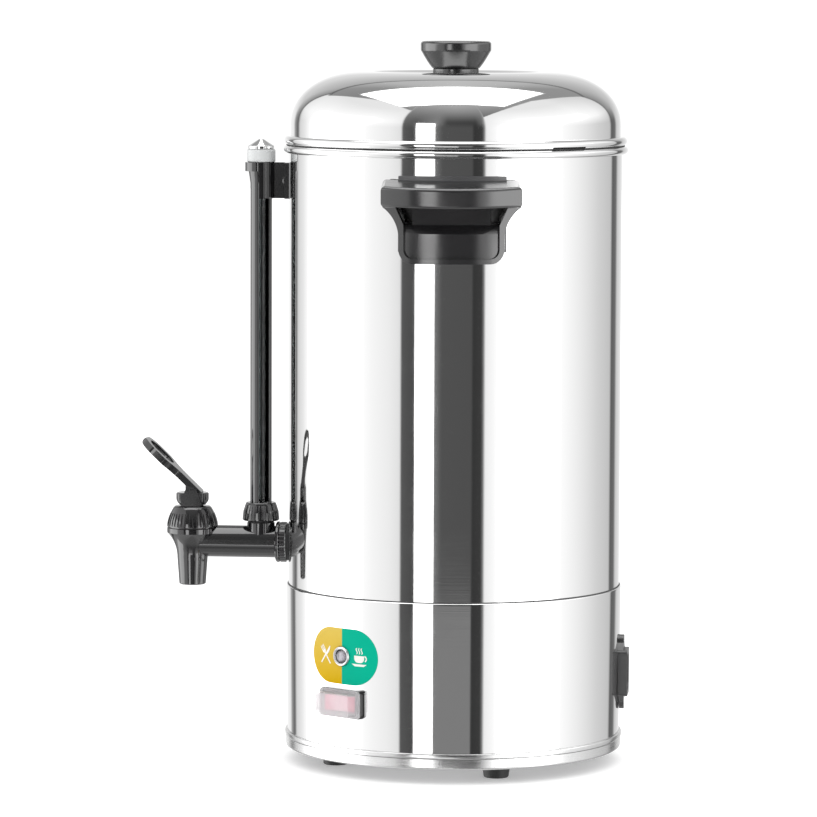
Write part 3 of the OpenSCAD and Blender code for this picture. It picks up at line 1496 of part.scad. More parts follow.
// Flange: an oval plate with a screw ear above and below
module inlet_outline() {
    ear_r = (inlet_h - inlet_pitch) / 2;
    rounded_rect(inlet_w, inlet_mid_h, inlet_corner_r);
    for (s = [-1, 1]) {
        translate([0, s * inlet_pitch / 2]) circle(ear_r, $fn = small);
        polygon([[-inlet_w / 2 + inlet_corner_r, s * inlet_mid_h / 2],
            [inlet_w / 2 - inlet_corner_r, s * inlet_mid_h / 2],
            [ear_r, s * inlet_pitch / 2], [-ear_r, s * inlet_pitch / 2]]);
    }
}

// Socket outline with its two bevelled corners
module inlet_socket() {
    w = inlet_socket_w / 2;
    h = inlet_socket_h / 2;
    b = inlet_bevel;
    polygon([[-w, -h], [w - b, -h], [w, -h + b], [w, h - b], [w - b, h], [-w, h]]);
}

module inlet_housing() {
    floor_r = inlet_face_r - inlet_socket_d;
    back_r = floor_r - inlet_floor;
    color("#1d1d1e") at_angle(inlet_angle) difference() {
        union() {
            difference() {
                outward(inlet_z) translate([0, 0, skirt_r - 2 * through]) {
                    linear_extrude(inlet_ear_r - skirt_r + 2 * through) inlet_outline();
                    linear_extrude(inlet_face_r - skirt_r + 2 * through)
                        rounded_rect(inlet_w, inlet_mid_h, inlet_corner_r);
                }
                round_body(skirt_r + fit);
            }
            outward(inlet_z) translate([0, 0, back_r]) linear_extrude(inlet_ear_r - back_r - edge)
                square([inlet_hole_w - 2 * fit, inlet_hole_h - 2 * fit], center = true);
        }
        outward(inlet_z) {
            translate([0, 0, floor_r]) linear_extrude(inlet_socket_d + through) inlet_socket();
            for (s = [-1, 1]) translate([0, s * inlet_pitch / 2, 0]) {
                rod(inlet_screw_r + fit, skirt_in - through, 3 * through);
                translate([0, 0, inlet_ear_r - inlet_screw_r]) cylinder(r1 = inlet_screw_r + fit,
                    r2 = inlet_head_r + fit, h = inlet_screw_r + eps, $fn = small);
            }
            for (p = pin_spots) translate([p[0] - pin_w / 2 - fit, p[1] - pin_h / 2 - fit, back_r - 1])
                cube([pin_w + 2 * fit, pin_h + 2 * fit, inlet_floor + 2]);
        }
    }
}

// Live, neutral and earth contacts
module inlet_pins() {
    low = inlet_face_r - inlet_socket_d - inlet_floor - pin_tail;
    color("#c9b26a") at_angle(inlet_angle) outward(inlet_z) for (p = pin_spots)
        translate([p[0] - pin_w / 2, p[1] - pin_h / 2, low]) cube([pin_w, pin_h, pin_l]);
}

module inlet_screws() {
    low = skirt_in - through;
    color("#a9abad") at_angle(inlet_angle) outward(inlet_z) for (s = [-1, 1])
        translate([0, s * inlet_pitch / 2, 0]) turned([[0, low], [inlet_screw_r, low],
            [inlet_screw_r, inlet_ear_r - inlet_screw_r], [inlet_head_r, inlet_ear_r],
            [0, inlet_ear_r]], small);
}

tank();
base_skirt();
base_pan();
feet();
foot_screws();
heating_element();
thermostat();
thermal_cutout();
handle_right();
handle_left();
handle_plate_right();
handle_plate_left();
handle_studs();
tap_body();
tap_nut();
tap_seal();
shank_washer();
shank_nut();
tap_bonnet();
tap_stem();
seat_cup();
tap_spring();
tap_lever();
lever_pin();
gauge_nut();
gauge_seal();
gauge_glass();
gauge_shield();
gauge_ferrule();
gauge_cap();
gauge_bracket();
bracket_rivets();
lid();
lid_knob();
knob_collar();
knob_screw();
riser_tube();
riser_foot();
filter_basket();
basket_cover();
switch_body();
switch_rocker();
switch_cover();
lamp_bezel();
lamp_lens();
indicator_label();
inlet_housing();
inlet_pins();
inlet_screws();
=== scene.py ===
# Coffee urn: the finish of every surface, laid out as a Blender add-on and run as a script.
# Metres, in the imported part's frame: the origin is on the body's axis at the table, +Z is up,
# and the tap points to -Y. Angles round the body start at the tap and run anticlockwise from above.

import json
import math

import bpy
from bpy.props import FloatProperty, FloatVectorProperty, IntProperty, PointerProperty
from mathutils import Matrix, Vector


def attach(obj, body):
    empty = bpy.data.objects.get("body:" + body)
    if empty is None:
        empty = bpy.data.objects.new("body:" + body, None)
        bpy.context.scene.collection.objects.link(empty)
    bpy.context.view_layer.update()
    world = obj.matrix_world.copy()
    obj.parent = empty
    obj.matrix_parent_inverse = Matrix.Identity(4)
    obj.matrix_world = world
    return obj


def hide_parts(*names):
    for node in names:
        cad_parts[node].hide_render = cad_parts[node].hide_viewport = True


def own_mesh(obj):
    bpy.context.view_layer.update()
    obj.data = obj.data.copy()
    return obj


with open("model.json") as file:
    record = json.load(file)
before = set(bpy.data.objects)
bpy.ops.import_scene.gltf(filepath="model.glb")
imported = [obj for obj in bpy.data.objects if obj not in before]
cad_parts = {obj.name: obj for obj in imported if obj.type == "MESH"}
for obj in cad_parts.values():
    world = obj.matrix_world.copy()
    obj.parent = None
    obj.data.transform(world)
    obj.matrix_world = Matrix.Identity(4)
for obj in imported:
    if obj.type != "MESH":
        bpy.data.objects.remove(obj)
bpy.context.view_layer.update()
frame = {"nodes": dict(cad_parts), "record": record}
BODY_OF = {node: body for body, nodes in frame["record"]["behaviour"]["bodies"].items() for node in nodes}
SLOT_OF = {row["node"]: row["material_slot"] for row in frame["record"]["subparts"]}

bl_info = {
    "name": "Coffee Urn",
    "version": (1, 0, 0),
    "blender": (4, 5, 0),
    "location": "View3D > Sidebar > Urn",
    "description": "Dresses the packed coffee urn with its finishes and sets it in a studio",
    "category": "Object",
}


def linear(code):
    """An sRGB hex colour as linear red, green, blue and alpha."""
    parts = [int(code[i:i + 2], 16) / 255 for i in (1, 3, 5)]
    return tuple(c / 12.92 if c <= 0.04045 else ((c + 0.055) / 1.055) ** 2.4 for c in parts) + (1.0,)


def length(name, description, default):
    return FloatProperty(name=name, description=description, default=default, min=0.0, unit="LENGTH",
                         precision=5)


def bearing(name, description, degrees):
    return FloatProperty(name=name, description=description, default=math.radians(degrees), subtype="ANGLE")


def colour(name, description, code):
    return FloatVectorProperty(name=name, description=description, default=linear(code), size=4,
                               subtype="COLOR", min=0.0, max=1.0)


class UrnSizes(bpy.types.PropertyGroup):
    """Sizes of the turned sheet-metal pieces and the printed label."""
    steps: IntProperty(name="Turning steps", description="Faces round a turned piece", default=256, min=32,
                       max=720)
    sheet: length("Sheet", "Thickness of the steel sheet", 0.0008)
    tank_radius: length("Tank radius", "Outside of the tank wall", 0.111)
    floor_height: length("Tank floor", "Height of the tank floor's underside", 0.1107)
    well_radius: length("Well radius", "Inside of the pump well in the floor", 0.032)
    well_depth: length("Well depth", "Depth of the pump well", 0.006)
    rim_height: length("Rim height", "Top of the tank's rolled bead", 0.4123)
    rim_bead: length("Rim bead", "Section radius of the tank's rolled bead", 0.0026)
    rim_bead_out: length("Rim bead out", "How far the bead stands out from the wall", 0.0039)
    skirt_radius: length("Skirt radius", "Outside of the skirt", 0.11185)
    skirt_draft: length("Skirt draft", "How much the skirt narrows from half height to its foot", 0.0004)
    skirt_foot: length("Skirt foot", "Lower edge of the skirt", 0.0202)
    seam_height: length("Seam height", "Upper edge of the skirt", 0.1187)
    # height of the dark grey ring of painted shade in the seam above the skirt
    seam_shade: length("Seam_shade", "Height of the sealant line above the skirt", 0.0007)
    pan_radius: length("Pan radius", "Outside of the base pan's wall", 0.1125)
    pan_height: length("Pan height", "Underside of the base pan", 0.0094)
    pan_bead_height: length("Pan bead height", "Lower edge of the pan's bead", 0.0169)
    pan_bead_out: length("Pan bead out", "How far the bead stands out from the pan", 0.0007)
    pan_groove: length("Pan groove", "Depth of the groove under the pan's bead", 0.0008)
    pan_edge: length("Pan edge", "Rounding of the pan's lower edge", 0.002)
    lid_radius: length("Lid radius", "Outside of the lid's side", 0.110)
    lid_foot: length("Lid foot", "Underside of the lid's bead", 0.4126)
    lid_bead: length("Lid bead", "Section radius of the lid's rolled bead", 0.003)
    lid_bead_out: length("Lid bead out", "How far the bead stands out from the lid's side", 0.0042)
    # how far the dark ring of painted shade between the lid's bead and the rim reaches out
    gap_shade_out: length("Lid seal", "How far the seal reaches out past the middle of the lid's bead", 0.0016)
    lip_radius: length("Lip radius", "Outside of the lip that drops into the tank", 0.1092)
    lip_depth: length("Lip depth", "How far the lip drops into the tank", 0.007)
    shoulder_height: length("Shoulder height", "Where the lid's side starts to curve in", 0.425)
    crown_radius: length("Crown radius", "Edge of the lid's crown", 0.058)
    crown_height: length("Crown height", "Highest ring of the lid", 0.4614)
    crown_dish: length("Crown dish", "How far the middle of the crown is dished", 0.0017)
    dish_run: length("Dish run", "Length of the slope from the crown's ring to its flat middle", 0.009)
    shoulder_power: FloatProperty(name="Shoulder fullness", description="2 is an ellipse", default=2.2,
                                  min=2.0, max=3.0)
    notch_angle: bearing("Steam notch", "Angle of the first steam notch from the tap", 136)
    notch_width: length("Notch width", "Width of a steam notch in the lid's bead", 0.028)
    notch_height: length("Notch height", "Height of a steam notch", 0.0016)
    vent_angle: bearing("Vent angle", "Angle of the crown's first vent hole from the tap", 60)
    vent_radius: length("Vent radius", "Radius of a vent hole in the crown", 0.002)
    vent_circle: length("Vent circle", "Distance of the vent holes from the axis", 0.043)
    slot_count: IntProperty(name="Air slots", description="Cooling slots in the base pan", default=10, min=0,
                            max=24)
    slot_width: length("Slot width", "Width of a cooling slot", 0.004)
    slot_length: length("Slot length", "Length of a cooling slot", 0.024)
    slot_circle: length("Slot circle", "Distance of the slots' middles from the axis", 0.045)
    panel_angle: bearing("Panel angle", "Angle of the lamp and switch from the tap", 54.4)
    lamp_height: length("Lamp height", "Height of the indicator lamp", 0.0805)
    sign_offset: length("Sign offset", "Distance of each pictogram from the lamp", 0.015)
    ink: length("Ink", "Thickness of the printed pictograms", 0.00006)


class UrnColours(bpy.types.PropertyGroup):
    """Colours that a user would change."""
    steel: colour("Steel", "Polished stainless steel", "#E5E5E5")
    moulding: colour("Moulding", "Black plastic of the tap and the gauge", "#171718")
    phenolic: colour("Phenolic", "Black plastic of the handles and the knob", "#212122")
    amber: colour("Amber", "Heating half of the label", "#CFA700")
    green: colour("Green", "Ready half of the label", "#00A98A")
    print_white: colour("Print", "Pictograms on the label", "#EDEBE4")
    rocker: colour("Rocker", "Lit rocker of the switch", "#F25C86")
    floor: colour("Floor", "Studio floor", "#FBFBFB")


# Nodes and materials

# Half the height over which the amber of the label grows paler
FADE_HALF = 0.0181


def add(tree, kind, inputs=None, out=0, **settings):
    """Adds a node and gives one of its outputs; an input is a value, or the socket that feeds it."""
    node = tree.nodes.new("ShaderNode" + kind)
    for key, value in settings.items():
        setattr(node, key, value)
    for key, value in (inputs or {}).items():
        if isinstance(value, bpy.types.NodeSocket):
            tree.links.new(value, node.inputs[key])
        else:
            node.inputs[key].default_value = value
    return node.outputs[out] if node.outputs else None


def new_material(name):
    """An empty material, its node tree, and the Object coordinates that its patterns read."""
    material = bpy.data.materials.new(name)
    material.use_nodes = True
    material.node_tree.nodes.clear()
    tree = material.node_tree
    return material, tree, add(tree, "TexCoord", out="Object")


def finish_material(material, tree, shader):
    add(tree, "OutputMaterial", {"Surface": shader})
    return material


def polished_stainless(steel, inner, rim):
    """Mirror-polished stainless sheet, faintly drawn out by the buffing; the tank's inside is soft satin."""
    material, tree, place = new_material("Polished_stainless_steel")
    # buffing lines run round the body, 0.6 mm apart, drawn coarser than life so that they show
    squeezed = add(tree, "Mapping", {"Vector": place, "Scale": (6.0, 6.0, 1600.0)})
    lines = add(tree, "TexNoise", {"Vector": squeezed, "Scale": 1.0, "Detail": 2.0})
    # smears of polish about 26 mm across
    smears = add(tree, "TexNoise", {"Vector": place, "Scale": 38.0, "Detail": 3.0})
    gloss = add(tree, "MapRange", {"Value": smears, "From Min": 0.35, "From Max": 0.7,
                                   "To Min": 0.035, "To Max": 0.06})
    # inside is nearer the axis than the wall's middle and below the rim
    level = add(tree, "VectorMath", {0: place, 1: (1.0, 1.0, 0.0)}, operation="MULTIPLY")
    radius = add(tree, "VectorMath", {0: level}, out="Value", operation="LENGTH")
    near = add(tree, "Math", {0: radius, 1: inner}, operation="LESS_THAN")
    height = add(tree, "SeparateXYZ", {"Vector": place}, "Z")
    below = add(tree, "Math", {0: height, 1: rim}, operation="LESS_THAN")
    inside = add(tree, "Math", {0: near, 1: below}, operation="MULTIPLY")
    gloss = add(tree, "Math", {0: inside, 1: 0.4, 2: gloss}, operation="MULTIPLY_ADD")
    relief = add(tree, "Bump", {"Height": lines, "Strength": 0.05, "Distance": 0.0001})
    shader = add(tree, "BsdfPrincipled", {
        "Base Color": steel, "Metallic": 1.0, "Roughness": gloss, "Normal": relief})
    return finish_material(material, tree, shader)


def satin_stainless(name, code, roughness, shade_below=None):
    """Stainless with its turned grain: soft sheen and fine lines round the axis; an underside is painted a
    darker grey as painted shade.
    """
    material, tree, place = new_material(name)
    # turning lines 0.8 mm apart
    squeezed = add(tree, "Mapping", {"Vector": place, "Scale": (12.0, 12.0, 1250.0)})
    lines = add(tree, "TexNoise", {"Vector": squeezed, "Scale": 1.0, "Detail": 3.0})
    sheen = add(tree, "MapRange", {"Value": lines, "From Min": 0.3, "From Max": 0.7,
                                   "To Min": roughness * 0.8, "To Max": roughness * 1.25})
    relief = add(tree, "Bump", {"Height": lines, "Strength": 0.12, "Distance": 0.0002})
    base = linear(code)
    # painted shade: below the given height the base colour turns to a darker grey, so that the underside
    # sends less light onto the floor
    if shade_below:
        height = add(tree, "SeparateXYZ", {"Vector": place}, "Z")
        under = add(tree, "Math", {0: height, 1: shade_below}, operation="LESS_THAN")
        base = add(tree, "Mix", {0: under, 6: base, 7: linear("#6A6A6B")}, out=2, data_type="RGBA")
    shader = add(tree, "BsdfPrincipled", {
        "Base Color": base, "Metallic": 1.0, "Roughness": sheen, "Normal": relief})
    return finish_material(material, tree, shader)


def plated_steel():
    """Zinc-plated fixings: bright grey with a slight spangle."""
    material, tree, place = new_material("Zinc_plated_steel")
    # spangle about 1.5 mm across
    spangle = add(tree, "TexVoronoi", {"Vector": place, "Scale": 650.0})
    tint = add(tree, "Mix", {0: spangle, 6: linear("#B9BBBD"), 7: linear("#9DA0A2")}, out=2, data_type="RGBA")
    shader = add(tree, "BsdfPrincipled", {"Base Color": tint, "Metallic": 1.0, "Roughness": 0.28})
    return finish_material(material, tree, shader)


def moulded_plastic(name, base, roughness, grain, relief_depth):
    """Injection-moulded black plastic: a deep gloss broken by the mould's faint grain."""
    material, tree, place = new_material(name)
    grit = add(tree, "TexNoise", {"Vector": place, "Scale": 1.0 / grain, "Detail": 3.0})
    # flow marks about 22 mm across
    flow = add(tree, "TexNoise", {"Vector": place, "Scale": 45.0, "Detail": 2.0})
    gloss = add(tree, "MapRange", {"Value": flow, "From Min": 0.3, "From Max": 0.7,
                                   "To Min": roughness * 0.8, "To Max": roughness * 1.2})
    relief = add(tree, "Bump", {"Height": grit, "Strength": 0.2, "Distance": relief_depth})
    shader = add(tree, "BsdfPrincipled", {
        "Base Color": base, "Roughness": gloss, "IOR": 1.55, "Specular IOR Level": 0.9,
        "Normal": relief})
    return finish_material(material, tree, shader)


def soft_polymer(name, code, roughness, mottle):
    """Silicone, acetal or rubber: matt, with a slight mottle from the mould."""
    material, tree, place = new_material(name)
    # mottle about 4.5 mm across
    cloud = add(tree, "TexNoise", {"Vector": place, "Scale": 220.0, "Detail": 3.0})
    dark = tuple(c * (1.0 - mottle) for c in linear(code)[:3]) + (1.0,)
    tint = add(tree, "Mix", {0: cloud, 6: dark, 7: linear(code)}, out=2, data_type="RGBA")
    relief = add(tree, "Bump", {"Height": cloud, "Strength": 0.15, "Distance": 0.0002})
    shader = add(tree, "BsdfPrincipled", {
        "Base Color": tint, "Roughness": roughness, "IOR": 1.45, "Normal": relief})
    return finish_material(material, tree, shader)


def clear_polymer(name, code, roughness, ior):
    """Clear glass or lens plastic: light passes through and the surface still shines."""
    material, tree, place = new_material(name)
    # moulding ripple about 4 mm long
    ripple = add(tree, "TexNoise", {"Vector": place, "Scale": 250.0, "Detail": 1.0})
    relief = add(tree, "Bump", {"Height": ripple, "Strength": 0.08, "Distance": 0.0003})
    shader = add(tree, "BsdfPrincipled", {
        "Base Color": linear(code), "Roughness": roughness, "IOR": ior, "Transmission Weight": 1.0,
        "Normal": relief})
    return finish_material(material, tree, shader)


def milky_silicone():
    """Thin unpigmented silicone: what lies behind shows through a pale haze, under a soft shine."""
    material, tree, place = new_material("Milky_silicone")
    # clouds about 6 mm across
    cloud = add(tree, "TexNoise", {"Vector": place, "Scale": 160.0, "Detail": 2.0})
    tint = add(tree, "Mix", {0: cloud, 6: linear("#D6D5D7"), 7: linear("#E8E6E8")}, out=2, data_type="RGBA")
    relief = add(tree, "Bump", {"Height": cloud, "Strength": 0.1, "Distance": 0.0002})
    shader = add(tree, "BsdfPrincipled", {
        "Base Color": tint, "Roughness": 0.24, "IOR": 1.41, "Alpha": 0.42, "Normal": relief})
    return finish_material(material, tree, shader)


def rocker_plastic(base, panel_angle):
    """Translucent red rocker with its neon lit; a painted highlight makes it pale in the middle, redder to
    its ends.
    """
    material, tree, place = new_material("Lit_red_polycarbonate")
    side = add(tree, "VectorMath", {0: place, 1: (math.cos(panel_angle), math.sin(panel_angle), 0.0)},
               out="Value", operation="DOT_PRODUCT")
    away = add(tree, "Math", {0: side}, operation="ABSOLUTE")
    # painted highlight: palest over the middle 4 mm, and red from 9 mm to each side
    highlight_fade = add(tree, "MapRange", {"Value": away, "From Min": 0.002, "From Max": 0.009})
    tint = add(tree, "Mix", {0: highlight_fade, 6: linear("#F9B4C4"), 7: base}, out=2, data_type="RGBA")
    shader = add(tree, "BsdfPrincipled", {
        "Base Color": tint, "Roughness": 0.22, "IOR": 1.58,
        "Emission Color": tint, "Emission Strength": 0.25})
    return finish_material(material, tree, shader)


def label_film(amber, green, panel_angle, middle):
    """Printed polyester label: an amber half for heating, a green half for ready, under a satin film."""
    material, tree, place = new_material("Printed_polyester_film")
    side = add(tree, "VectorMath", {0: place, 1: (math.cos(panel_angle), math.sin(panel_angle), 0.0)},
               out="Value", operation="DOT_PRODUCT")
    right = add(tree, "Math", {0: side, 1: 0.0}, operation="GREATER_THAN")
    height = add(tree, "SeparateXYZ", {"Vector": place}, "Z")
    # the amber is paler towards the upper edge
    fade = add(tree, "MapRange", {"Value": height, "From Min": middle - FADE_HALF,
                                  "From Max": middle + FADE_HALF})
    shade = add(tree, "Mix", {0: fade, 6: amber, 7: linear("#D4B857")}, out=2, data_type="RGBA")
    tint = add(tree, "Mix", {0: right, 6: shade, 7: green}, out=2, data_type="RGBA")
    # grain of the film, 0.55 mm
    grit = add(tree, "TexNoise", {"Vector": place, "Scale": 1800.0})
    relief = add(tree, "Bump", {"Height": grit, "Strength": 0.05, "Distance": 0.0001})
    shader = add(tree, "BsdfPrincipled", {
        "Base Color": tint, "Roughness": 0.45, "IOR": 1.5, "Specular IOR Level": 0.05,
        "Normal": relief})
    return finish_material(material, tree, shader)


def screen_ink(tone):
    """Screen-printed ink: a flat off-white with a fine mesh grain."""
    material, tree, place = new_material("Screen_printed_ink")
    # mesh of the screen, 0.4 mm, drawn coarser than life so that it shows
    grain = add(tree, "TexNoise", {"Vector": place, "Scale": 2500.0, "Detail": 1.0})
    worn = tuple(0.88 * c for c in tone[:3]) + (1.0,)
    tint = add(tree, "Mix", {0: grain, 6: worn, 7: tone}, out=2, data_type="RGBA")
    shader = add(tree, "BsdfPrincipled", {"Base Color": tint, "Roughness": 0.45, "IOR": 1.5})
    return finish_material(material, tree, shader)


# Modelling helpers

# Corners nearer than this are one, in a drawn piece and in a CAD mesh; faces that lean less are one face
MERGE = 1e-6
CAD_MERGE = 2e-6
FLAT = math.radians(0.5)


def begin():
    """Leaves edit mode and clears the selection, so that the next operator acts on its own piece alone."""
    if bpy.context.mode != "OBJECT":
        bpy.ops.object.mode_set(mode="OBJECT")
    bpy.ops.object.select_all(action="DESELECT")


def edit(piece):
    """Opens one piece in edit mode with all of it selected."""
    begin()
    bpy.context.view_layer.objects.active = piece
    piece.select_set(True)
    bpy.ops.object.mode_set(mode="EDIT")
    bpy.ops.mesh.select_all(action="SELECT")


def close_up(piece, angle=30.0):
    """Merges doubles, turns the faces outwards and shades the piece smooth between its sharp edges."""
    edit(piece)
    bpy.ops.mesh.remove_doubles(threshold=MERGE)
    bpy.ops.mesh.normals_make_consistent(inside=False)
    bpy.ops.object.mode_set(mode="OBJECT")
    bpy.ops.object.shade_smooth_by_angle(angle=math.radians(angle))
    return piece


def dress(piece, material, body, slot, *nodes):
    """Gives a piece its material and its place on a CAD body, standing for CAD nodes."""
    piece.data.materials.clear()
    piece.data.materials.append(material)
    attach(piece, body)
    if nodes:
        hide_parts(*nodes)
    return piece


def arc(x, z, radius, start, end, steps):
    """Points of an arc about (x, z), with its angles in degrees."""
    turns = [math.radians(start + (end - start) * k / steps) for k in range(steps + 1)]
    return [(x + radius * math.cos(t), z + radius * math.sin(t)) for t in turns]


def modify(piece, kind, **settings):
    """Adds one modifier to a piece and applies it."""
    begin()
    bpy.context.view_layer.objects.active = piece
    piece.select_set(True)
    modifier = piece.modifiers.new(kind.title(), kind)
    for key, value in settings.items():
        setattr(modifier, key, value)
    bpy.ops.object.modifier_apply(modifier=modifier.name)


def drawn(name, points):
    """A new piece in edit mode that holds one line, drawn by extruding a single point along its corners."""
    begin()
    bpy.ops.mesh.primitive_plane_add(size=0.01, enter_editmode=True)
    piece = bpy.context.object
    piece.name = name
    piece.data.name = name
    bpy.ops.mesh.merge(type="CENTER")
    here = Vector()
    for k, there in enumerate(points):
        if k == 0:
            bpy.ops.transform.translate(value=there - here)
        else:
            bpy.ops.mesh.extrude_vertices_move(TRANSFORM_OT_translate={"value": there - here})
        here = there
    bpy.ops.mesh.select_all(action="SELECT")
    return piece


def turned(name, outline, steps, start=0.0, sweep=math.tau):
    """A piece turned about the body's axis from radii and heights; a part turn gets end faces."""
    across = Vector((math.sin(start), -math.cos(start), 0.0))
    piece = drawn(name, [across * radius + Vector((0.0, 0.0, height)) for radius, height in outline])
    # seen from above a spin turns clockwise, and the urn's angles run the other way
    bpy.ops.mesh.spin(steps=steps, angle=-sweep, center=(0.0, 0.0, 0.0), axis=(0.0, 0.0, 1.0))
    if sweep < math.tau:
        bpy.ops.mesh.select_all(action="SELECT")
        bpy.ops.mesh.remove_doubles(threshold=MERGE)
        bpy.ops.mesh.fill_holes(sides=0)
    return close_up(piece)


def filled(name, corners):
    """A flat plate in edit mode, drawn round its corners."""
    piece = drawn(name, corners + corners[:1])
    bpy.ops.mesh.remove_doubles(threshold=MERGE)
    bpy.ops.mesh.edge_face_add()
    return piece


def cut_out(piece, corners, tall):
    """Cuts a hole through a piece: a plate drawn round its corners, raised to a block and taken away."""
    block = filled("Cutter", corners)
    bpy.ops.mesh.extrude_region_move(TRANSFORM_OT_translate={"value": (0.0, 0.0, tall)})
    close_up(block)
    modify(piece, "BOOLEAN", operation="DIFFERENCE", solver="EXACT", object=block)
    bpy.data.objects.remove(block)


def cad_finish(node, material, bevel=0.0, segments=2, angle=30.0, shape=None):
    """A smooth piece from a CAD node's mesh: triangles merged, flat faces joined, sharp edges rounded."""
    piece = bpy.data.objects.new(node + "_finish", frame["nodes"][node].data.copy())
    bpy.context.scene.collection.objects.link(piece)
    edit(piece)
    bpy.ops.mesh.customdata_custom_splitnormals_clear()
    bpy.ops.mesh.remove_doubles(threshold=CAD_MERGE)
    if shape:
        shape(piece)
    if bevel:
        bpy.ops.mesh.dissolve_limited(angle_limit=FLAT)
        modify(piece, "BEVEL", width=bevel, segments=segments, limit_method="ANGLE",
               angle_limit=math.radians(angle), miter_outer="MITER_ARC", use_clamp_overlap=True)
    begin()
    bpy.context.view_layer.objects.active = piece
    piece.select_set(True)
    bpy.ops.object.shade_smooth_by_angle(angle=math.radians(angle))
    if bevel:
        modify(piece, "WEIGHTED_NORMAL", keep_sharp=True)
    return dress(piece, material, BODY_OF[node], SLOT_OF[node], node)


def shared(name, make, *values):
    """A material made once and used by several operators."""
    return bpy.data.materials.get(name) or make(*values)


def steel_finish(context):
    s = context.scene.urn_sizes
    return shared("Polished_stainless_steel", polished_stainless, context.scene.urn_colours.steel,
                  s.tank_radius - s.sheet / 2, s.rim_height)


def plated_finish():
    return shared("Zinc_plated_steel", plated_steel)


def tap_finish(context):
    """Glass-smooth nylon: the grain is 0.3 mm and barely raised."""
    name = "Moulded_black_nylon"
    return shared(name, moulded_plastic, name, context.scene.urn_colours.moulding, 0.08, 0.0003, 0.00001)


def handle_finish(context):
    """Phenolic moulding with a slightly softer gloss: the grain is 0.5 mm."""
    name = "Moulded_black_phenolic"
    return shared(name, moulded_plastic, name, context.scene.urn_colours.phenolic, 0.17, 0.0005, 0.00002)


def seal_finish():
    """Black nitrile rubber of the seals and feet; also used for the painted shade in the lid's gap and steam
    notches.
    """
    return shared("Black_rubber", soft_polymer, "Black_rubber", "#1A1A1B", 0.55, 0.2)


# Pieces

# Corners of the fork and the knife on the label, upright, in millimetres about the point where they cross
FORK = [(-0.5, -7.3), (0.5, -7.3), (0.45, 1.0), (1.6, 2.4), (1.6, 7.0), (1.0, 7.0), (0.95, 3.6), (0.35, 3.6),
        (0.3, 7.0), (-0.3, 7.0), (-0.35, 3.6), (-0.95, 3.6), (-1.0, 7.0), (-1.6, 7.0), (-1.6, 2.4),
        (-0.45, 1.0)]
KNIFE = [(-0.5, -7.3), (0.5, -7.3), (0.5, -0.2), (1.15, 0.6), (1.3, 3.2), (0.9, 5.4), (-0.1, 7.2),
         (-0.6, 7.2), (-0.6, 0.0)]
MILLIMETRE = 0.001
# Cuts across a pictogram, in millimetres from its middle, so that it can bend round the skirt
SIGN_CUTS = range(-7, 8)

# Rounding of the tank's foot; of the skirt's upper edge, in sheets; how far the dark ring of painted shade in
# the seam fills the step, and how far it is let into the wall
TANK_EDGE = 0.0005
SKIRT_EDGE = 0.9
SEAM_SHADE_FILL = 0.7
SEAM_SHADE_OVERLAP = 0.00005
# The pan's gap to the skirt, upstand behind it, inner corner, and the fullness of its bead
PAN_GAP = 0.0002
PAN_UPSTAND = 0.012
PAN_CORNER = 0.004
PAN_FULLNESS = 0.6
# How far a cutter starts below a sheet, and its height
CUT_BELOW = 0.002
CUT_TALL = 0.005
# Steps along the lid's shoulder and its dish
SHOULDER_STEPS = 72
DISH_STEPS = 16
# Steps round a steam notch, how far in the black block of painted shade behind it lies, as a share of the
# bead, and how far the dark ring of painted shade between the lid and the rim stands below and above the
# bead's underside
NOTCH_STEPS = 12
NOTCH_DEPTH = 0.6
GAP_SHADE_BELOW = 0.0002
GAP_SHADE_ABOVE = 0.0005

# The handles' angle from the tap, and the heights, reach and half width of their ledge's front edge
HANDLE_ANGLE = math.radians(94)
LEDGE_HEIGHTS = (0.3602, 0.3657)
LEDGE_FRONT = 0.133
LEDGE_HALF = 0.0312
LEDGE_SLACK = 0.0001


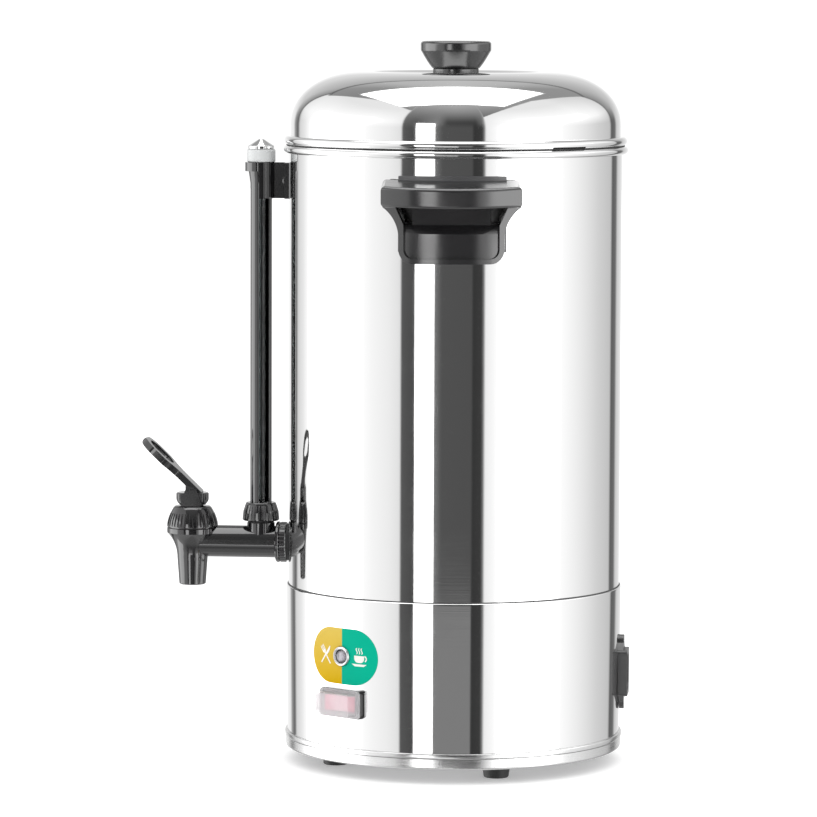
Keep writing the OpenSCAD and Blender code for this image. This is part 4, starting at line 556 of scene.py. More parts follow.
class URN_OT_body(bpy.types.Operator):
    """Turns the tank, its skirt and the base pan"""
    bl_idname = "urn.body"
    bl_label = "Body"

    def execute(self, context):
        s = context.scene.urn_sizes
        inner = s.tank_radius - s.sheet
        floor = s.floor_height
        well_out = s.well_radius + s.sheet
        bead = arc(s.tank_radius + s.rim_bead_out - s.rim_bead, s.rim_height - s.rim_bead, s.rim_bead,
                   -120, 216, 48)
        tank = turned("tank_shell", [
            (0, floor - s.well_depth), (well_out, floor - s.well_depth), (well_out, floor),
            (s.tank_radius - TANK_EDGE, floor), (s.tank_radius, floor + TANK_EDGE), *bead,
            (inner, floor + s.sheet), (s.well_radius, floor + s.sheet),
            (s.well_radius, floor + s.sheet - s.well_depth), (0, floor + s.sheet - s.well_depth)], s.steps)
        dress(tank, steel_finish(context), "base", "polished_steel", "tank")
        skirt_in = s.skirt_radius - s.sheet
        foot_in = skirt_in - s.skirt_draft
        edge = SKIRT_EDGE * s.sheet
        skirt = turned("skirt_shell", [
            (foot_in, s.skirt_foot), (s.skirt_radius - s.skirt_draft, s.skirt_foot),
            (s.skirt_radius + s.skirt_draft, s.seam_height - 2 * edge),
            *arc(s.skirt_radius + s.skirt_draft - edge, s.seam_height - edge, edge, 0, 90, 6),
            (skirt_in, s.seam_height), (foot_in, s.skirt_foot)], s.steps)
        dress(skirt, steel_finish(context), "base", "polished_steel", "base_skirt")
        # painted shade: a dark grey ring in the seam above the skirt stands for the shade in the gap between
        # the tank and the skirt's rounded edge
        bead_out = SEAM_SHADE_FILL * (s.skirt_radius - s.tank_radius)
        root = s.tank_radius - SEAM_SHADE_OVERLAP
        front = s.tank_radius + bead_out
        seam_shade = turned("seam_shade_ring", [
            (root, s.seam_height - edge), (front, s.seam_height - edge), (front, s.seam_height),
            (s.tank_radius + bead_out / 2, s.seam_height + s.seam_shade), (root, s.seam_height + s.seam_shade),
            (root, s.seam_height - edge)], s.steps)
        dress(seam_shade, soft_polymer("Grey_seam_shade", "#3C3C3D", 0.5, 0.15), "base", "foot_rubber")
        pan_in = foot_in - PAN_GAP
        upstand = s.skirt_foot + PAN_UPSTAND
        bead_mid = (s.pan_bead_height + s.skirt_foot) / 2
        bead_half = (s.skirt_foot - s.pan_bead_height) / 2
        groove = s.pan_radius - s.pan_groove
        swell = [(groove, s.pan_bead_height)]
        swell += [(s.pan_radius + s.pan_bead_out * math.cos(t) ** PAN_FULLNESS,
                   bead_mid + bead_half * math.sin(t)) for t in (math.radians(a) for a in range(-80, 81, 8))]
        lower_edge = arc(s.pan_radius - s.pan_edge, s.pan_height + s.pan_edge, s.pan_edge, -90, 0, 12)
        pan = turned("pan_shell", [
            (0, s.pan_height), *lower_edge, (s.pan_radius, s.pan_bead_height - s.pan_groove / 2), *swell,
            (pan_in, s.skirt_foot), (pan_in, upstand), (pan_in - s.sheet, upstand),
            (pan_in - s.sheet, s.pan_height + PAN_CORNER), (pan_in - PAN_CORNER, s.pan_height + s.sheet),
            (0, s.pan_height + s.sheet)], s.steps)
        reach = (s.slot_length - s.slot_width) / 2
        half = s.slot_width / 2
        stadium = arc(0, reach, half, 0, 180, 8) + arc(0, -reach, half, 180, 360, 8)
        for k in range(s.slot_count):
            turn = Matrix.Rotation(math.tau * k / s.slot_count, 3, "Z")
            below = s.pan_height - CUT_BELOW
            cut_out(pan, [turn @ Vector((x, y - s.slot_circle, below)) for x, y in stadium], CUT_TALL)
        close_up(pan)
        # the pan's underside gets the darker grey of painted shade
        satin = satin_stainless("Satin_stainless_steel", "#D6D6D6", 0.2, s.pan_height + s.sheet / 2)
        dress(pan, satin, "base", "satin_steel", "base_pan")
        return {"FINISHED"}


class URN_OT_lid(bpy.types.Operator):
    """Turns the domed lid, its rolled bead with the steam notches, and the knob"""
    bl_idname = "urn.lid"
    bl_label = "Lid"

    def shoulder(self, s, inset, steps):
        """The lid's rounded shoulder, drawn in by a sheet thickness."""
        wide = s.lid_radius - s.crown_radius - inset
        tall = s.crown_height - s.shoulder_height - inset
        turns = [math.radians(90 * k / steps) for k in range(steps + 1)]
        power = 2 / s.shoulder_power
        return [(s.crown_radius + wide * max(math.cos(t), 0) ** power,
                 s.shoulder_height + tall * math.sin(t) ** power) for t in turns]

    def dish(self, s, drop):
        """The crown's easy slope down to its flat middle."""
        shares = [k / DISH_STEPS for k in range(1, DISH_STEPS + 1)]
        return [(s.crown_radius - s.dish_run * share,
                 s.crown_height - drop - s.crown_dish * (0.5 - 0.5 * math.cos(math.pi * share)))
                for share in shares]

    def execute(self, context):
        s = context.scene.urn_sizes
        bead_x = s.lid_radius + s.lid_bead_out - s.lid_bead
        bead_z = s.lid_foot + s.lid_bead
        lip_in = s.lip_radius - s.sheet
        middle = s.crown_height - s.crown_dish
        dome = turned("lid_dome", [
            (s.lip_radius, s.lid_foot - s.lip_depth), (s.lip_radius, bead_z), (s.lid_radius, bead_z),
            *self.shoulder(s, 0.0, SHOULDER_STEPS), *self.dish(s, 0.0), (0, middle), (0, middle - s.sheet),
            *reversed(self.dish(s, s.sheet)), *reversed(self.shoulder(s, s.sheet, SHOULDER_STEPS // 2)),
            (s.lid_radius - s.sheet, bead_z + s.lid_bead), (lip_in, bead_z + MILLIMETRE),
            (lip_in, s.lid_foot - s.lip_depth), (s.lip_radius, s.lid_foot - s.lip_depth)], s.steps)
        for side in (0, 1):
            turn = Matrix.Rotation(s.vent_angle + side * math.pi, 3, "Z")
            ring = arc(0, -s.vent_circle, s.vent_radius, 0, 345, 23)
            cut_out(dome, [turn @ Vector((x, y, middle - 2 * CUT_BELOW)) for x, y in ring], 4 * CUT_BELOW)
        close_up(dome)
        dress(dome, steel_finish(context), "lid", "polished_steel", "lid")
        half = math.asin(s.notch_width / 2 / bead_x)
        cut = math.degrees(math.asin((s.lid_foot + s.notch_height - bead_z) / s.lid_bead))
        whole = arc(bead_x, bead_z, s.lid_bead, 0, 360, 40)
        upper = arc(bead_x, bead_z, s.lid_bead, cut, 180 - cut, 24)
        # painted shade: a black block just behind each steam notch stands for the shade inside the hole
        back = bead_x - NOTCH_DEPTH * s.lid_bead
        ahead = back + MILLIMETRE
        mouth = [(back, s.lid_foot), (ahead, s.lid_foot), (ahead, bead_z), (back, bead_z), (back, s.lid_foot)]
        for side in (0, 1):
            at = s.notch_angle + side * math.pi
            number = "_%d" % (side + 1)
            rolled = turned("lid_bead" + number, whole, s.steps // 2, at + half, math.pi - 2 * half)
            dress(rolled, steel_finish(context), "lid", "polished_steel")
            bridge = turned("lid_notch" + number, upper + upper[:1], NOTCH_STEPS, at - half, 2 * half)
            dress(bridge, steel_finish(context), "lid", "polished_steel")
            shade = turned("lid_notch_shade" + number, mouth, NOTCH_STEPS, at - half, 2 * half)
            dress(shade, seal_finish(), "lid", "foot_rubber")
        # painted shade: a thin dark ring between the lid's bead and the rim's bead stands for the shade in
        # the gap where the lid rests on the rim
        outer = bead_x + s.gap_shade_out
        inner = bead_x - MILLIMETRE
        seat = s.lid_foot - GAP_SHADE_BELOW
        top = s.lid_foot + GAP_SHADE_ABOVE
        section = [(inner, seat), (outer, seat), (outer, top), (inner, top), (inner, seat)]
        seal = turned("lid_gap_shade", section, s.steps)
        dress(seal, seal_finish(), "lid", "foot_rubber")
        cad_finish("lid_knob", handle_finish(context), bevel=0.0018, segments=4)
        cad_finish("knob_collar", handle_finish(context), bevel=0.0004)
        cad_finish("knob_screw", plated_finish(), bevel=0.0002)
        return {"FINISHED"}


class URN_OT_handles(bpy.types.Operator):
    """Finishes the two moulded side handles, their back plates and studs"""
    bl_idname = "urn.handles"
    bl_label = "Handles"

    def level_ledge(self, piece):
        """Brings the bowed front edge of the finger recess's ledge down to one height."""
        bpy.ops.mesh.select_all(action="DESELECT")
        bpy.ops.object.mode_set(mode="OBJECT")
        low, high = LEDGE_HEIGHTS
        for vertex in piece.data.vertices:
            across = abs(vertex.co.x * math.cos(HANDLE_ANGLE) + vertex.co.y * math.sin(HANDLE_ANGLE))
            out = abs(vertex.co.x * math.sin(HANDLE_ANGLE) - vertex.co.y * math.cos(HANDLE_ANGLE))
            level = low - LEDGE_SLACK < vertex.co.z < high - LEDGE_SLACK
            vertex.select = out > LEDGE_FRONT and across < LEDGE_HALF and level
        bpy.ops.object.mode_set(mode="EDIT")
        bpy.ops.transform.resize(value=(1.0, 1.0, 0.0), center_override=(0.0, 0.0, low))
        bpy.ops.mesh.select_all(action="SELECT")

    def execute(self, context):
        matt = moulded_plastic("Matt_black_phenolic", linear("#4C4C4E"), 0.35, 0.0005, 0.00004)
        for side in ("right", "left"):
            cad_finish("handle_" + side, handle_finish(context), bevel=0.0014, segments=4,
                       shape=self.level_ledge)
            cad_finish("handle_plate_" + side, matt, bevel=0.0004)
        cad_finish("handle_studs", plated_finish(), bevel=0.0002)
        return {"FINISHED"}


class URN_OT_tap(bpy.types.Operator):
    """Finishes the lever tap and its valve"""
    bl_idname = "urn.tap"
    bl_label = "Tap"

    def execute(self, context):
        cad_finish("tap_body", tap_finish(context), bevel=0.0003)
        for node in ("tap_nut", "tap_bonnet"):
            cad_finish(node, tap_finish(context), angle=40.0)
        cad_finish("tap_lever", tap_finish(context), bevel=0.0006, segments=3)
        cad_finish("tap_stem", soft_polymer("Natural_acetal", "#DCD9CE", 0.4, 0.06), bevel=0.0002)
        silicone = soft_polymer("Food_silicone", "#D8D4CB", 0.55, 0.08)
        for node in ("shank_washer", "seat_cup"):
            cad_finish(node, silicone)
        cad_finish("tap_seal", seal_finish())
        for node in ("shank_nut", "lever_pin"):
            cad_finish(node, plated_finish())
        # in the real tap the spring stays under the bonnet, and the rising stem presses it together from
        # below;
        # here the spring only gets a mesh of its own
        spring = cad_finish("tap_spring", plated_finish())
        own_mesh(spring)
        return {"FINISHED"}


class URN_OT_gauge(bpy.types.Operator):
    """Finishes the sight gauge: union nut, guard tube, glass, ferrule, cap and bracket"""
    bl_idname = "urn.gauge"
    bl_label = "Sight gauge"

    def execute(self, context):
        cad_finish("gauge_nut", tap_finish(context), angle=40.0)
        for node in ("gauge_shield", "gauge_bracket"):
            cad_finish(node, tap_finish(context), bevel=0.0005)
        cad_finish("gauge_seal", seal_finish())
        cad_finish("gauge_glass", clear_polymer("Borosilicate_glass", "#F4FAFA", 0.02, 1.47))
        cad_finish("gauge_ferrule", soft_polymer("Grey_acetal", "#D3D5D5", 0.35, 0.05), bevel=0.0002)
        cad_finish("gauge_cap", steel_finish(context), bevel=0.0002)
        cad_finish("bracket_rivets", tap_finish(context), bevel=0.0002)
        return {"FINISHED"}


class URN_OT_panel(bpy.types.Operator):
    """Finishes the switch with its clear hood, the indicator lamp and the two-colour label"""
    bl_idname = "urn.panel"
    bl_label = "Switch, lamp and label"

    def cup(self):
        """A steaming cup on its saucer, in millimetres about its middle."""
        bowl = [(-4.4, 1.4), *arc(-1.4, -0.2, 3.0, 180, 270, 6), *arc(0.6, -0.2, 3.0, 270, 360, 6),
                (3.6, 1.4)]
        ear = arc(3.6, -0.4, 2.2, -70, 80, 10) + arc(3.6, -0.4, 1.3, 80, -70, 10)
        saucer = [(-6.4, -4.1), (5.6, -4.1), *arc(2.8, -3.6, 2.0, -40, -90, 4),
                  *arc(-3.6, -3.6, 2.0, -90, -140, 4)]
        plumes = []
        for middle in (-2.4, -0.4, 1.6):
            rise = [(middle + 0.5 * math.sin(math.radians(45 * k)), 2.5 + 0.5 * k) for k in range(9)]
            plumes.append([(x - 0.35, y) for x, y in rise] + [(x + 0.35, y) for x, y in reversed(rise)])
        return [bowl, ear, saucer, *plumes]

    def printed(self, s, name, outlines, offset, lift, label, ink):
        """A pictogram: outlines filled, cut into strips, laid on the label and given the ink's thickness."""
        out = Vector((math.sin(s.panel_angle), -math.cos(s.panel_angle), 0.0))
        across = Vector((math.cos(s.panel_angle), math.sin(s.panel_angle), 0.0))
        up = Vector((0.0, 0.0, 1.0))
        middle = out * (s.skirt_radius + MILLIMETRE) + across * offset + up * s.lamp_height
        plates = []
        for outline in outlines:
            plates.append(filled(name, [middle + (across * x + up * y) * MILLIMETRE for x, y in outline]))
            for k in SIGN_CUTS:
                bpy.ops.mesh.select_all(action="SELECT")
                bpy.ops.mesh.bisect(plane_co=middle + across * k * MILLIMETRE, plane_no=across)
        begin()
        for plate in plates:
            plate.select_set(True)
        piece = plates[0]
        bpy.context.view_layer.objects.active = piece
        bpy.ops.object.join()
        modify(piece, "SHRINKWRAP", target=label, wrap_mode="ABOVE_SURFACE", offset=s.ink * lift)
        modify(piece, "SOLIDIFY", thickness=s.ink, offset=0.0)
        dress(close_up(piece), ink, BODY_OF["indicator_label"], SLOT_OF["indicator_label"])

    def execute(self, context):
        colours = context.scene.urn_colours
        sizes = context.scene.urn_sizes
        cad_finish("switch_body", tap_finish(context), bevel=0.0003)
        cad_finish("switch_rocker", rocker_plastic(colours.rocker, sizes.panel_angle), bevel=0.0004)
        cad_finish("switch_cover", milky_silicone(), bevel=0.00028, segments=3)
        cad_finish("lamp_bezel", satin_stainless("Turned_stainless_steel", "#B4B4B6", 0.3), bevel=0.0002)
        cad_finish("lamp_lens", clear_polymer("Clear_polycarbonate", "#858288", 0.32, 1.58))
        film = label_film(colours.amber, colours.green, sizes.panel_angle, sizes.lamp_height)
        label = cad_finish("indicator_label", film)
        ink = screen_ink(colours.print_white)
        for name, outline, lean, lift in (("sign_fork", FORK, 38.0, 1.0), ("sign_knife", KNIFE, -38.0, 2.5)):
            turn = Matrix.Rotation(math.radians(lean), 2)
            corners = [turn @ Vector(corner) for corner in outline]
            self.printed(sizes, name, [corners], -sizes.sign_offset, lift, label, ink)
        self.printed(sizes, "sign_cup", self.cup(), sizes.sign_offset, 1.0, label, ink)
        return {"FINISHED"}


class URN_OT_inlet(bpy.types.Operator):
    """Finishes the mains inlet, its contacts and screws"""
    bl_idname = "urn.inlet"
    bl_label = "Mains inlet"

    def execute(self, context):
        housing = moulded_plastic("Moulded_black_thermoset", linear("#141415"), 0.38, 0.0004, 0.00004)
        cad_finish("inlet_housing", housing, bevel=0.0004)
        cad_finish("inlet_pins", satin_stainless("Nickel_washed_brass", "#C9B98C", 0.25), bevel=0.0002)
        cad_finish("inlet_screws", plated_finish())
        return {"FINISHED"}


class URN_OT_percolator(bpy.types.Operator):
    """Finishes the riser, pump foot, basket and cover inside the tank"""
    bl_idname = "urn.percolator"
    bl_label = "Percolator"

    def execute(self, context):
        rolled = satin_stainless("Bright_rolled_stainless_steel", "#CFD1D2", 0.24)
        for node in ("riser_tube", "riser_foot", "filter_basket", "basket_cover"):
            cad_finish(node, rolled)
        return {"FINISHED"}


class URN_OT_underside(bpy.types.Operator):
    """Finishes the feet, the heater and its controls under the tank"""
    bl_idname = "urn.underside"
    bl_label = "Feet and heater"

    def execute(self, context):
        cad_finish("feet", seal_finish(), bevel=0.0003)
        cad_finish("foot_screws", plated_finish())
        cad_finish("heating_element", satin_stainless("Oxidised_heater_sheath", "#8A817A", 0.42))
        cad_finish("thermostat", soft_polymer("Steatite_ceramic", "#D9D3C4", 0.5, 0.08), bevel=0.0003)
        cad_finish("thermal_cutout", soft_polymer("Phenolic_board", "#3A332E", 0.5, 0.15), bevel=0.0003)
        return {"FINISHED"}


# Stage

CAMERA_ANGLE = math.radians(95)
CAMERA_DISTANCE = 3.1894
CAMERA_HEIGHT = 0.519
CAMERA_PITCH = math.radians(5.07)
CAMERA_YAW = math.radians(-0.5526)
CAMERA_ROLL = math.radians(0.209)
CAMERA_LENS = 210.65

# Paper floor: its radius, and the width of the ring outside its middle
FLOOR_RADIUS = 9.0
FLOOR_RING = 4.0

# The studio is a room that only reflections see. Its walls are greys, as two hex digits, by angle from the
# camera in degrees, positive to its right. Rise is the height of a ray of length 1. First, at eye level
STUDIO_LEVEL = [
    (-180, "E6"), (-155, "DC"), (-150, "8C"), (-143, "58"), (-139, "CC"), (-130, "E0"), (-122, "FA"),
    (-112, "FF"), (-72, "FF"), (-58, "F0"), (-46, "E7"), (-38, "DC"), (-37, "54"), (-28, "46"),
    (-13, "6C"), (-9, "4E"), (11.5, "4C"), (12.5, "34"), (19.5, "3A"), (20.5, "E6"), (32, "FF"),
    (72, "FF"), (95, "E7"), (117, "CB"), (136, "BA"), (139, "5A"), (147, "66"), (152, "C0"), (180, "E6")]
# at half height
STUDIO_MIDDLE = [
    (-180, "CF"), (-155, "BE"), (-145, "86"), (-143.5, "50"), (-142, "E0"), (-130, "F2"), (-110, "FF"),
    (-62, "FF"), (-46, "F4"), (-38, "EA"), (-37, "5E"), (-28, "54"), (-13, "7A"), (-6, "40"), (14, "3A"),
    (19.5, "6A"), (20.5, "E6"), (32, "F6"), (48, "FF"), (100, "FF"), (122, "F0"), (138, "D4"),
    (139.5, "50"), (141, "86"), (155, "B4"), (180, "CF")]
# at the top of the walls
STUDIO_UPPER = [
    (-180, "A8"), (-150, "9A"), (-145, "86"), (-143.5, "50"), (-142, "DE"), (-38, "E2"), (-37, "58"),
    (20, "58"), (21, "E2"), (100, "E0"), (138, "C8"), (139.5, "50"), (141, "86"), (150, "9A"),
    (180, "A8")]
# and on the ceiling
STUDIO_CEILING = [
    (-180, "B8"), (-165, "AF"), (-150, "8C"), (-125, "82"), (-60, "90"), (0, "A2"), (60, "90"),
    (125, "8C"), (150, "8E"), (165, "AF"), (180, "B8")]
# Rises between which the walls go over to the next list
WALL_STEPS = ((0.06, 0.24, STUDIO_MIDDLE), (0.3, 0.7, STUDIO_UPPER))
# Upright patches on the front wall: first and last angle, lowest and highest rise, grey. The soft edges of
# angles, here and below, are in radians
FRONT_PATCHES = [(-27.5, -14.0, -0.7, 0.235, "FF"), (-13.0, 11.5, -0.7, -0.1325, "78"),
                 (-24.0, 2.0, -0.6, -0.34, "FF")]
PATCH_SIDE_EDGE = 0.01
PATCH_RISE_EDGE = 0.002
# Angles between which the front wall stands, which is dark
FRONT_SIDES = (-37.5, 20.3)
FRONT_EDGE = 0.02
FRONT_GREY = "58"
# The ceiling is measured as side and front over height: its half width, how its sides lean in to the back,
# where it meets the back wall, and its soft edge
CEILING_HALF = 0.65
CEILING_LEAN = 0.28
CEILING_BACK = -1.15
CEILING_EDGE = 0.03
LOWEST_RISE = 0.05
NO_LIMIT = 99.0
# Rises between which the front wall goes over to the ceiling, and the dark corner at the back wall
CEILING_RISE = (0.15, 0.85)
CORNER_HALF = 0.05
CORNER_EDGE = 0.04
CORNER_SHADE = 0.5
# Soft box on the ceiling, to each side and to back and front
BOX_SIDES = (-0.65, 0.55)
BOX_DEPTH = (-0.5, 0.5)
# Rises between which the shaded ground before the urn and the pale floor at its foot come in, and the
# ground's angles in radians
GROUND_RISE = (-0.38, -0.68)
GROUND_SIDES = (-1.0, 0.8)
GROUND_EDGE = 0.6
GROUND_GREY = "86"
FOOT_RISE = (-0.68, -0.84)
FOOT_SHARE = 0.7
FOOT_GREY = "CF"
# White panels are lamps, so they shine more than white paper does
LAMP_FROM = 0.94
PANEL_GAIN = 1.34
LAMP_GAIN = 1.9
# Even light on matt surfaces, and the backdrop that the camera sees
SOFT_LIGHT = 1.12
BACKDROP = 1.05
WHITE = (1.0, 1.0, 1.0, 1.0)
BLACK = (0.0, 0.0, 0.0, 1.0)


def grey(code):
    """A grey from two hex digits."""
    return linear("#" + 3 * code)


class URN_OT_stage(bpy.types.Operator):
    """Sets the camera, the pale floor and the studio's soft panels"""
    bl_idname = "urn.stage"
    bl_label = "Studio"

    def camera(self, context):
        out = Vector((math.sin(CAMERA_ANGLE), -math.cos(CAMERA_ANGLE), 0.0))
        across = Vector((math.cos(CAMERA_ANGLE), math.sin(CAMERA_ANGLE), 0.0))
        up = Vector((0.0, 0.0, 1.0))
        aim = (across * math.sin(CAMERA_YAW) - out * math.cos(CAMERA_YAW)) * math.cos(CAMERA_PITCH)
        aim = aim - up * math.sin(CAMERA_PITCH)
        right = across * math.cos(CAMERA_YAW) + out * math.sin(CAMERA_YAW)
        top = right.cross(aim)
        rolled_right = right * math.cos(CAMERA_ROLL) + top * math.sin(CAMERA_ROLL)
        rolled_top = top * math.cos(CAMERA_ROLL) - right * math.sin(CAMERA_ROLL)
        begin()
        bpy.ops.object.camera_add(location=out * CAMERA_DISTANCE + up * CAMERA_HEIGHT)
        camera = context.object
        camera.name = "Camera"
        turn = Matrix((rolled_right, rolled_top, -aim)).transposed()
        camera.rotation_euler = turn.to_euler()
        camera.data.lens = CAMERA_LENS
        camera.data.sensor_width = 36.0
        camera.data.clip_end = 200.0
        context.scene.camera = camera

    def floor(self, context):
        begin()
        bpy.ops.mesh.primitive_circle_add(vertices=96, radius=FLOOR_RADIUS, fill_type="NGON",
                                           enter_editmode=True)
        bpy.ops.mesh.inset(thickness=FLOOR_RING)
        bpy.ops.object.mode_set(mode="OBJECT")
        floor = context.object
        floor.name = "Studio_floor"
        material, tree, place = new_material("Matt_white_paper")
        # paper fibre about 1 mm long
        fibre = add(tree, "TexNoise", {"Vector": place, "Scale": 900.0, "Detail": 2.0})
        relief = add(tree, "Bump", {"Height": fibre, "Strength": 0.05, "Distance": 0.0001})
        shader = add(tree, "BsdfPrincipled", {
            "Base Color": context.scene.urn_colours.floor, "Roughness": 1.0, "Specular IOR Level": 0.0,
            "Emission Color": WHITE, "Emission Strength": 0.32, "Normal": relief})
        floor.data.materials.append(finish_material(material, tree, shader))
        floor.visible_glossy = False
        floor.visible_transmission = False

    def bands(self, tree, angle, stops):
        """A ramp round the studio: brightness by angle from the camera."""
        ramp = add(tree, "ValToRGB", {"Fac": angle})
        marks = ramp.node.color_ramp.elements
        while len(marks) < len(stops):
            marks.new(0.5)
        # every mark is placed before any is coloured, because a mark that moves can change their order
        for mark, (degrees, _) in zip(marks, stops):
            mark.position = degrees / 360 + 0.5
        for mark, (_, code) in zip(marks, stops):
            mark.color = grey(code)
        return ramp

    def between(self, tree, value, low, high, soft):
        """A mask that is 1 between two values and falls to 0 outside them over a soft edge."""
        half = soft / 2
        over = add(tree, "MapRange", {"Value": value, "From Min": low - half, "From Max": low + half})
        under = add(tree, "MapRange", {"Value": value, "From Min": high - half, "From Max": high + half,
                                       "To Min": 1.0, "To Max": 0.0})
        return add(tree, "Math", {0: over, 1: under}, operation="MULTIPLY")

    def walls(self, tree, turn, rise):
        """The walls, three lists of greys that go over into each other with height, with the front patches;
        and the ceiling's greys."""
        angle = add(tree, "MapRange", {"Value": turn, "From Min": -math.pi, "From Max": math.pi})
        walls = self.bands(tree, angle, STUDIO_LEVEL)
        for low, high, stops in WALL_STEPS:
            climb = add(tree, "MapRange", {"Value": rise, "From Min": low, "From Max": high})
            walls = add(tree, "Mix", {0: climb, 6: walls, 7: self.bands(tree, angle, stops)}, out=2,
                        data_type="RGBA")
        for first, last, low, high, code in FRONT_PATCHES:
            across = self.between(tree, turn, math.radians(first), math.radians(last), PATCH_SIDE_EDGE)
            upright = self.between(tree, rise, low, high, PATCH_RISE_EDGE)
            inside = add(tree, "Math", {0: across, 1: upright}, operation="MULTIPLY")
            walls = add(tree, "Mix", {0: inside, 6: walls, 7: grey(code)}, out=2, data_type="RGBA")
        return walls, self.bands(tree, angle, STUDIO_CEILING)

    def room(self, tree, turn, rise, beside, before, walls, ceiling):
        """The walls under a ceiling that ends at the side walls, which lean in, and at the back wall."""
        away = add(tree, "Math", {0: beside}, operation="ABSOLUTE")
        rear = add(tree, "Math", {0: before, 1: 0.0}, operation="MINIMUM")
        lean = add(tree, "Math", {0: rear, 1: CEILING_LEAN, 2: away}, operation="MULTIPLY_ADD")
        indoors = self.between(tree, lean, -NO_LIMIT, CEILING_HALF, CEILING_EDGE)
        forward = self.between(tree, before, CEILING_BACK, NO_LIMIT, CEILING_EDGE)
        # towards the front it darkens slowly, with no edge
        low, high = CEILING_RISE
        fade = add(tree, "MapRange", {"Value": rise, "From Min": low, "From Max": high})
        fade = add(tree, "Math", {0: fade, 1: 2.0}, operation="POWER")
        behind = add(tree, "Math", {0: before, 1: 0.0}, operation="LESS_THAN")
        fade = add(tree, "Math", {0: fade, 1: behind}, operation="MAXIMUM")
        overhead = add(tree, "Mix", {0: fade, 6: grey(FRONT_GREY), 7: ceiling}, out=2, data_type="RGBA")
        first, last = FRONT_SIDES
        ahead = self.between(tree, turn, math.radians(first), math.radians(last), FRONT_EDGE)
        covered = add(tree, "Math", {0: indoors, 1: forward}, operation="MULTIPLY")
        covered = add(tree, "Math", {0: covered, 1: ahead}, operation="SUBTRACT", use_clamp=True)
        room = add(tree, "Mix", {0: covered, 6: walls, 7: overhead}, out=2, data_type="RGBA")
        dusk = add(tree, "Math", {0: ahead, 1: fade}, operation="MULTIPLY")
        room = add(tree, "Mix", {0: dusk, 6: room, 7: ceiling}, out=2, data_type="RGBA")
        corner = self.between(tree, before, CEILING_BACK - CORNER_HALF, CEILING_BACK + CORNER_HALF,
                              CORNER_EDGE)
        corner = add(tree, "Math", {0: corner, 1: indoors}, operation="MULTIPLY")
        corner = add(tree, "Math", {0: corner, 1: CORNER_SHADE}, operation="MULTIPLY")
        return add(tree, "Mix", {0: corner, 6: room, 7: BLACK}, out=2, data_type="RGBA")

    def execute(self, context):
        self.camera(context)
        self.floor(context)
        world = bpy.data.worlds.new("Studio")
        context.scene.world = world
        world.use_nodes = True
        world.cycles.sampling_method = "NONE"
        tree = world.node_tree
        tree.nodes.clear()
        ray = add(tree, "TexCoord", out="Generated")
        out = (math.sin(CAMERA_ANGLE), -math.cos(CAMERA_ANGLE), 0.0)
        across = (math.cos(CAMERA_ANGLE), math.sin(CAMERA_ANGLE), 0.0)
        front = add(tree, "VectorMath", {0: ray, 1: out}, out="Value", operation="DOT_PRODUCT")
        side = add(tree, "VectorMath", {0: ray, 1: across}, out="Value", operation="DOT_PRODUCT")
        rise = add(tree, "SeparateXYZ", {"Vector": ray}, "Z")
        turn = add(tree, "Math", {0: side, 1: front}, operation="ARCTAN2")
        height = add(tree, "Math", {0: rise, 1: LOWEST_RISE}, operation="MAXIMUM")
        beside = add(tree, "Math", {0: side, 1: height}, operation="DIVIDE")
        before = add(tree, "Math", {0: front, 1: height}, operation="DIVIDE")
        walls, ceiling = self.walls(tree, turn, rise)
        lit = self.room(tree, turn, rise, beside, before, walls, ceiling)
        # the soft box on the ceiling, the shaded ground before the urn, and the pale floor at its foot
        wide = self.between(tree, beside, *BOX_SIDES, CEILING_EDGE)
        deep = self.between(tree, before, *BOX_DEPTH, CEILING_EDGE)
        box = add(tree, "Math", {0: wide, 1: deep}, operation="MULTIPLY")
        lit = add(tree, "Mix", {0: box, 6: lit, 7: WHITE}, out=2, data_type="RGBA")
        low, high = GROUND_RISE
        ground = add(tree, "MapRange", {"Value": rise, "From Min": low, "From Max": high})
        nearby = self.between(tree, turn, *GROUND_SIDES, GROUND_EDGE)
        ground = add(tree, "Math", {0: ground, 1: nearby}, operation="MULTIPLY")
        lit = add(tree, "Mix", {0: ground, 6: lit, 7: grey(GROUND_GREY)}, out=2, data_type="RGBA")
        low, high = FOOT_RISE
        foot = add(tree, "MapRange", {"Value": rise, "From Min": low, "From Max": high, "To Max": FOOT_SHARE})
        lit = add(tree, "Mix", {0: foot, 6: lit, 7: grey(FOOT_GREY)}, out=2, data_type="RGBA")
        glare = add(tree, "MapRange", {"Value": lit, "From Min": LAMP_FROM, "From Max": 1.0,
                                       "To Min": PANEL_GAIN, "To Max": PANEL_GAIN + LAMP_GAIN})
        mirror = add(tree, "Background", {"Color": lit, "Strength": glare})
        soft = add(tree, "Background", {"Color": WHITE, "Strength": SOFT_LIGHT})
        plain = add(tree, "Background", {"Color": WHITE, "Strength": BACKDROP})
        scattered = add(tree, "LightPath", out="Diffuse Depth")
        matt = add(tree, "Math", {0: scattered, 1: 0.5}, operation="GREATER_THAN")
        fill = add(tree, "MixShader", {0: matt, 1: mirror, 2: soft})
        seen = add(tree, "LightPath", out="Is Camera Ray")
        add(tree, "OutputWorld", {"Surface": add(tree, "MixShader", {0: seen, 1: fill, 2: plain})})
        context.scene.view_settings.view_transform = "Standard"
        return {"FINISHED"}


# Panel and registration


OPERATORS = (URN_OT_stage, URN_OT_body, URN_OT_lid, URN_OT_handles, URN_OT_tap, URN_OT_gauge, URN_OT_panel,
             URN_OT_inlet, URN_OT_percolator, URN_OT_underside)


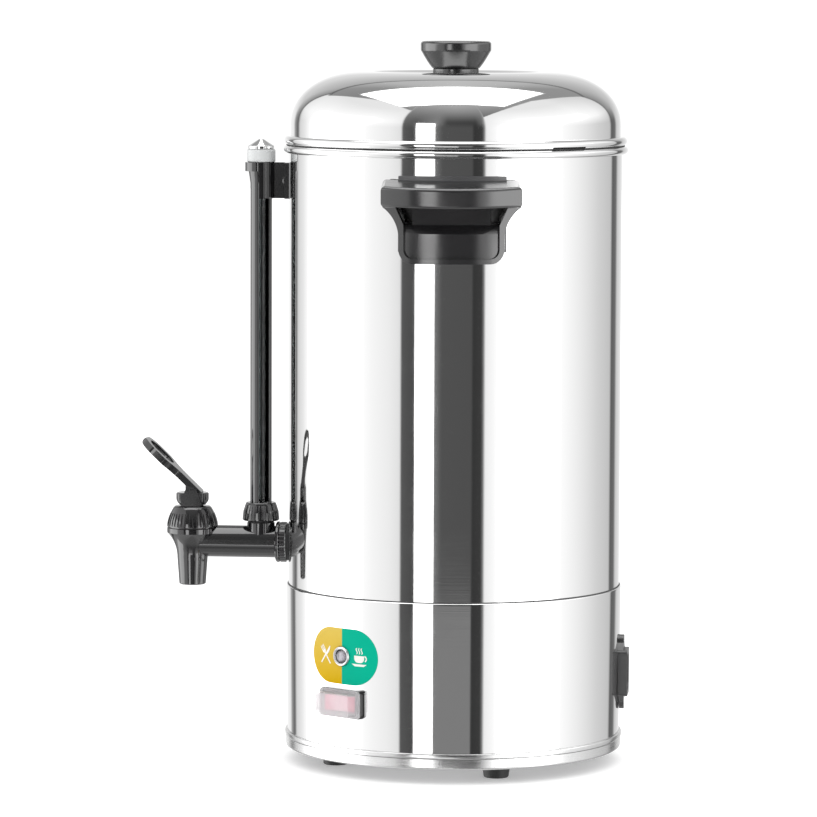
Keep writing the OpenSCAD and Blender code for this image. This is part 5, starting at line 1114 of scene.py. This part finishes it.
class URN_PT_sidebar(bpy.types.Panel):
    """Lists the urn's pieces with their sizes and colours"""
    bl_label = "Coffee Urn"
    bl_idname = "URN_PT_sidebar"
    bl_space_type = "VIEW_3D"
    bl_region_type = "UI"
    bl_category = "Urn"

    def draw(self, context):
        for operator in OPERATORS:
            self.layout.operator(operator.bl_idname)
        for group in (context.scene.urn_sizes, context.scene.urn_colours):
            box = self.layout.box()
            for name in group.__annotations__:
                box.prop(group, name)


CLASSES = (UrnSizes, UrnColours, *OPERATORS, URN_PT_sidebar)


def register():
    for cls in CLASSES:
        bpy.utils.register_class(cls)
    bpy.types.Scene.urn_sizes = PointerProperty(type=UrnSizes)
    bpy.types.Scene.urn_colours = PointerProperty(type=UrnColours)


def unregister():
    del bpy.types.Scene.urn_colours
    del bpy.types.Scene.urn_sizes
    for cls in reversed(CLASSES):
        bpy.utils.unregister_class(cls)


def main():
    register()
    bpy.ops.urn.stage()
    bpy.ops.urn.body()
    bpy.ops.urn.lid()
    bpy.ops.urn.handles()
    bpy.ops.urn.tap()
    bpy.ops.urn.gauge()
    bpy.ops.urn.panel()
    bpy.ops.urn.inlet()
    bpy.ops.urn.percolator()
    bpy.ops.urn.underside()


if __name__ == "__main__":
    main()
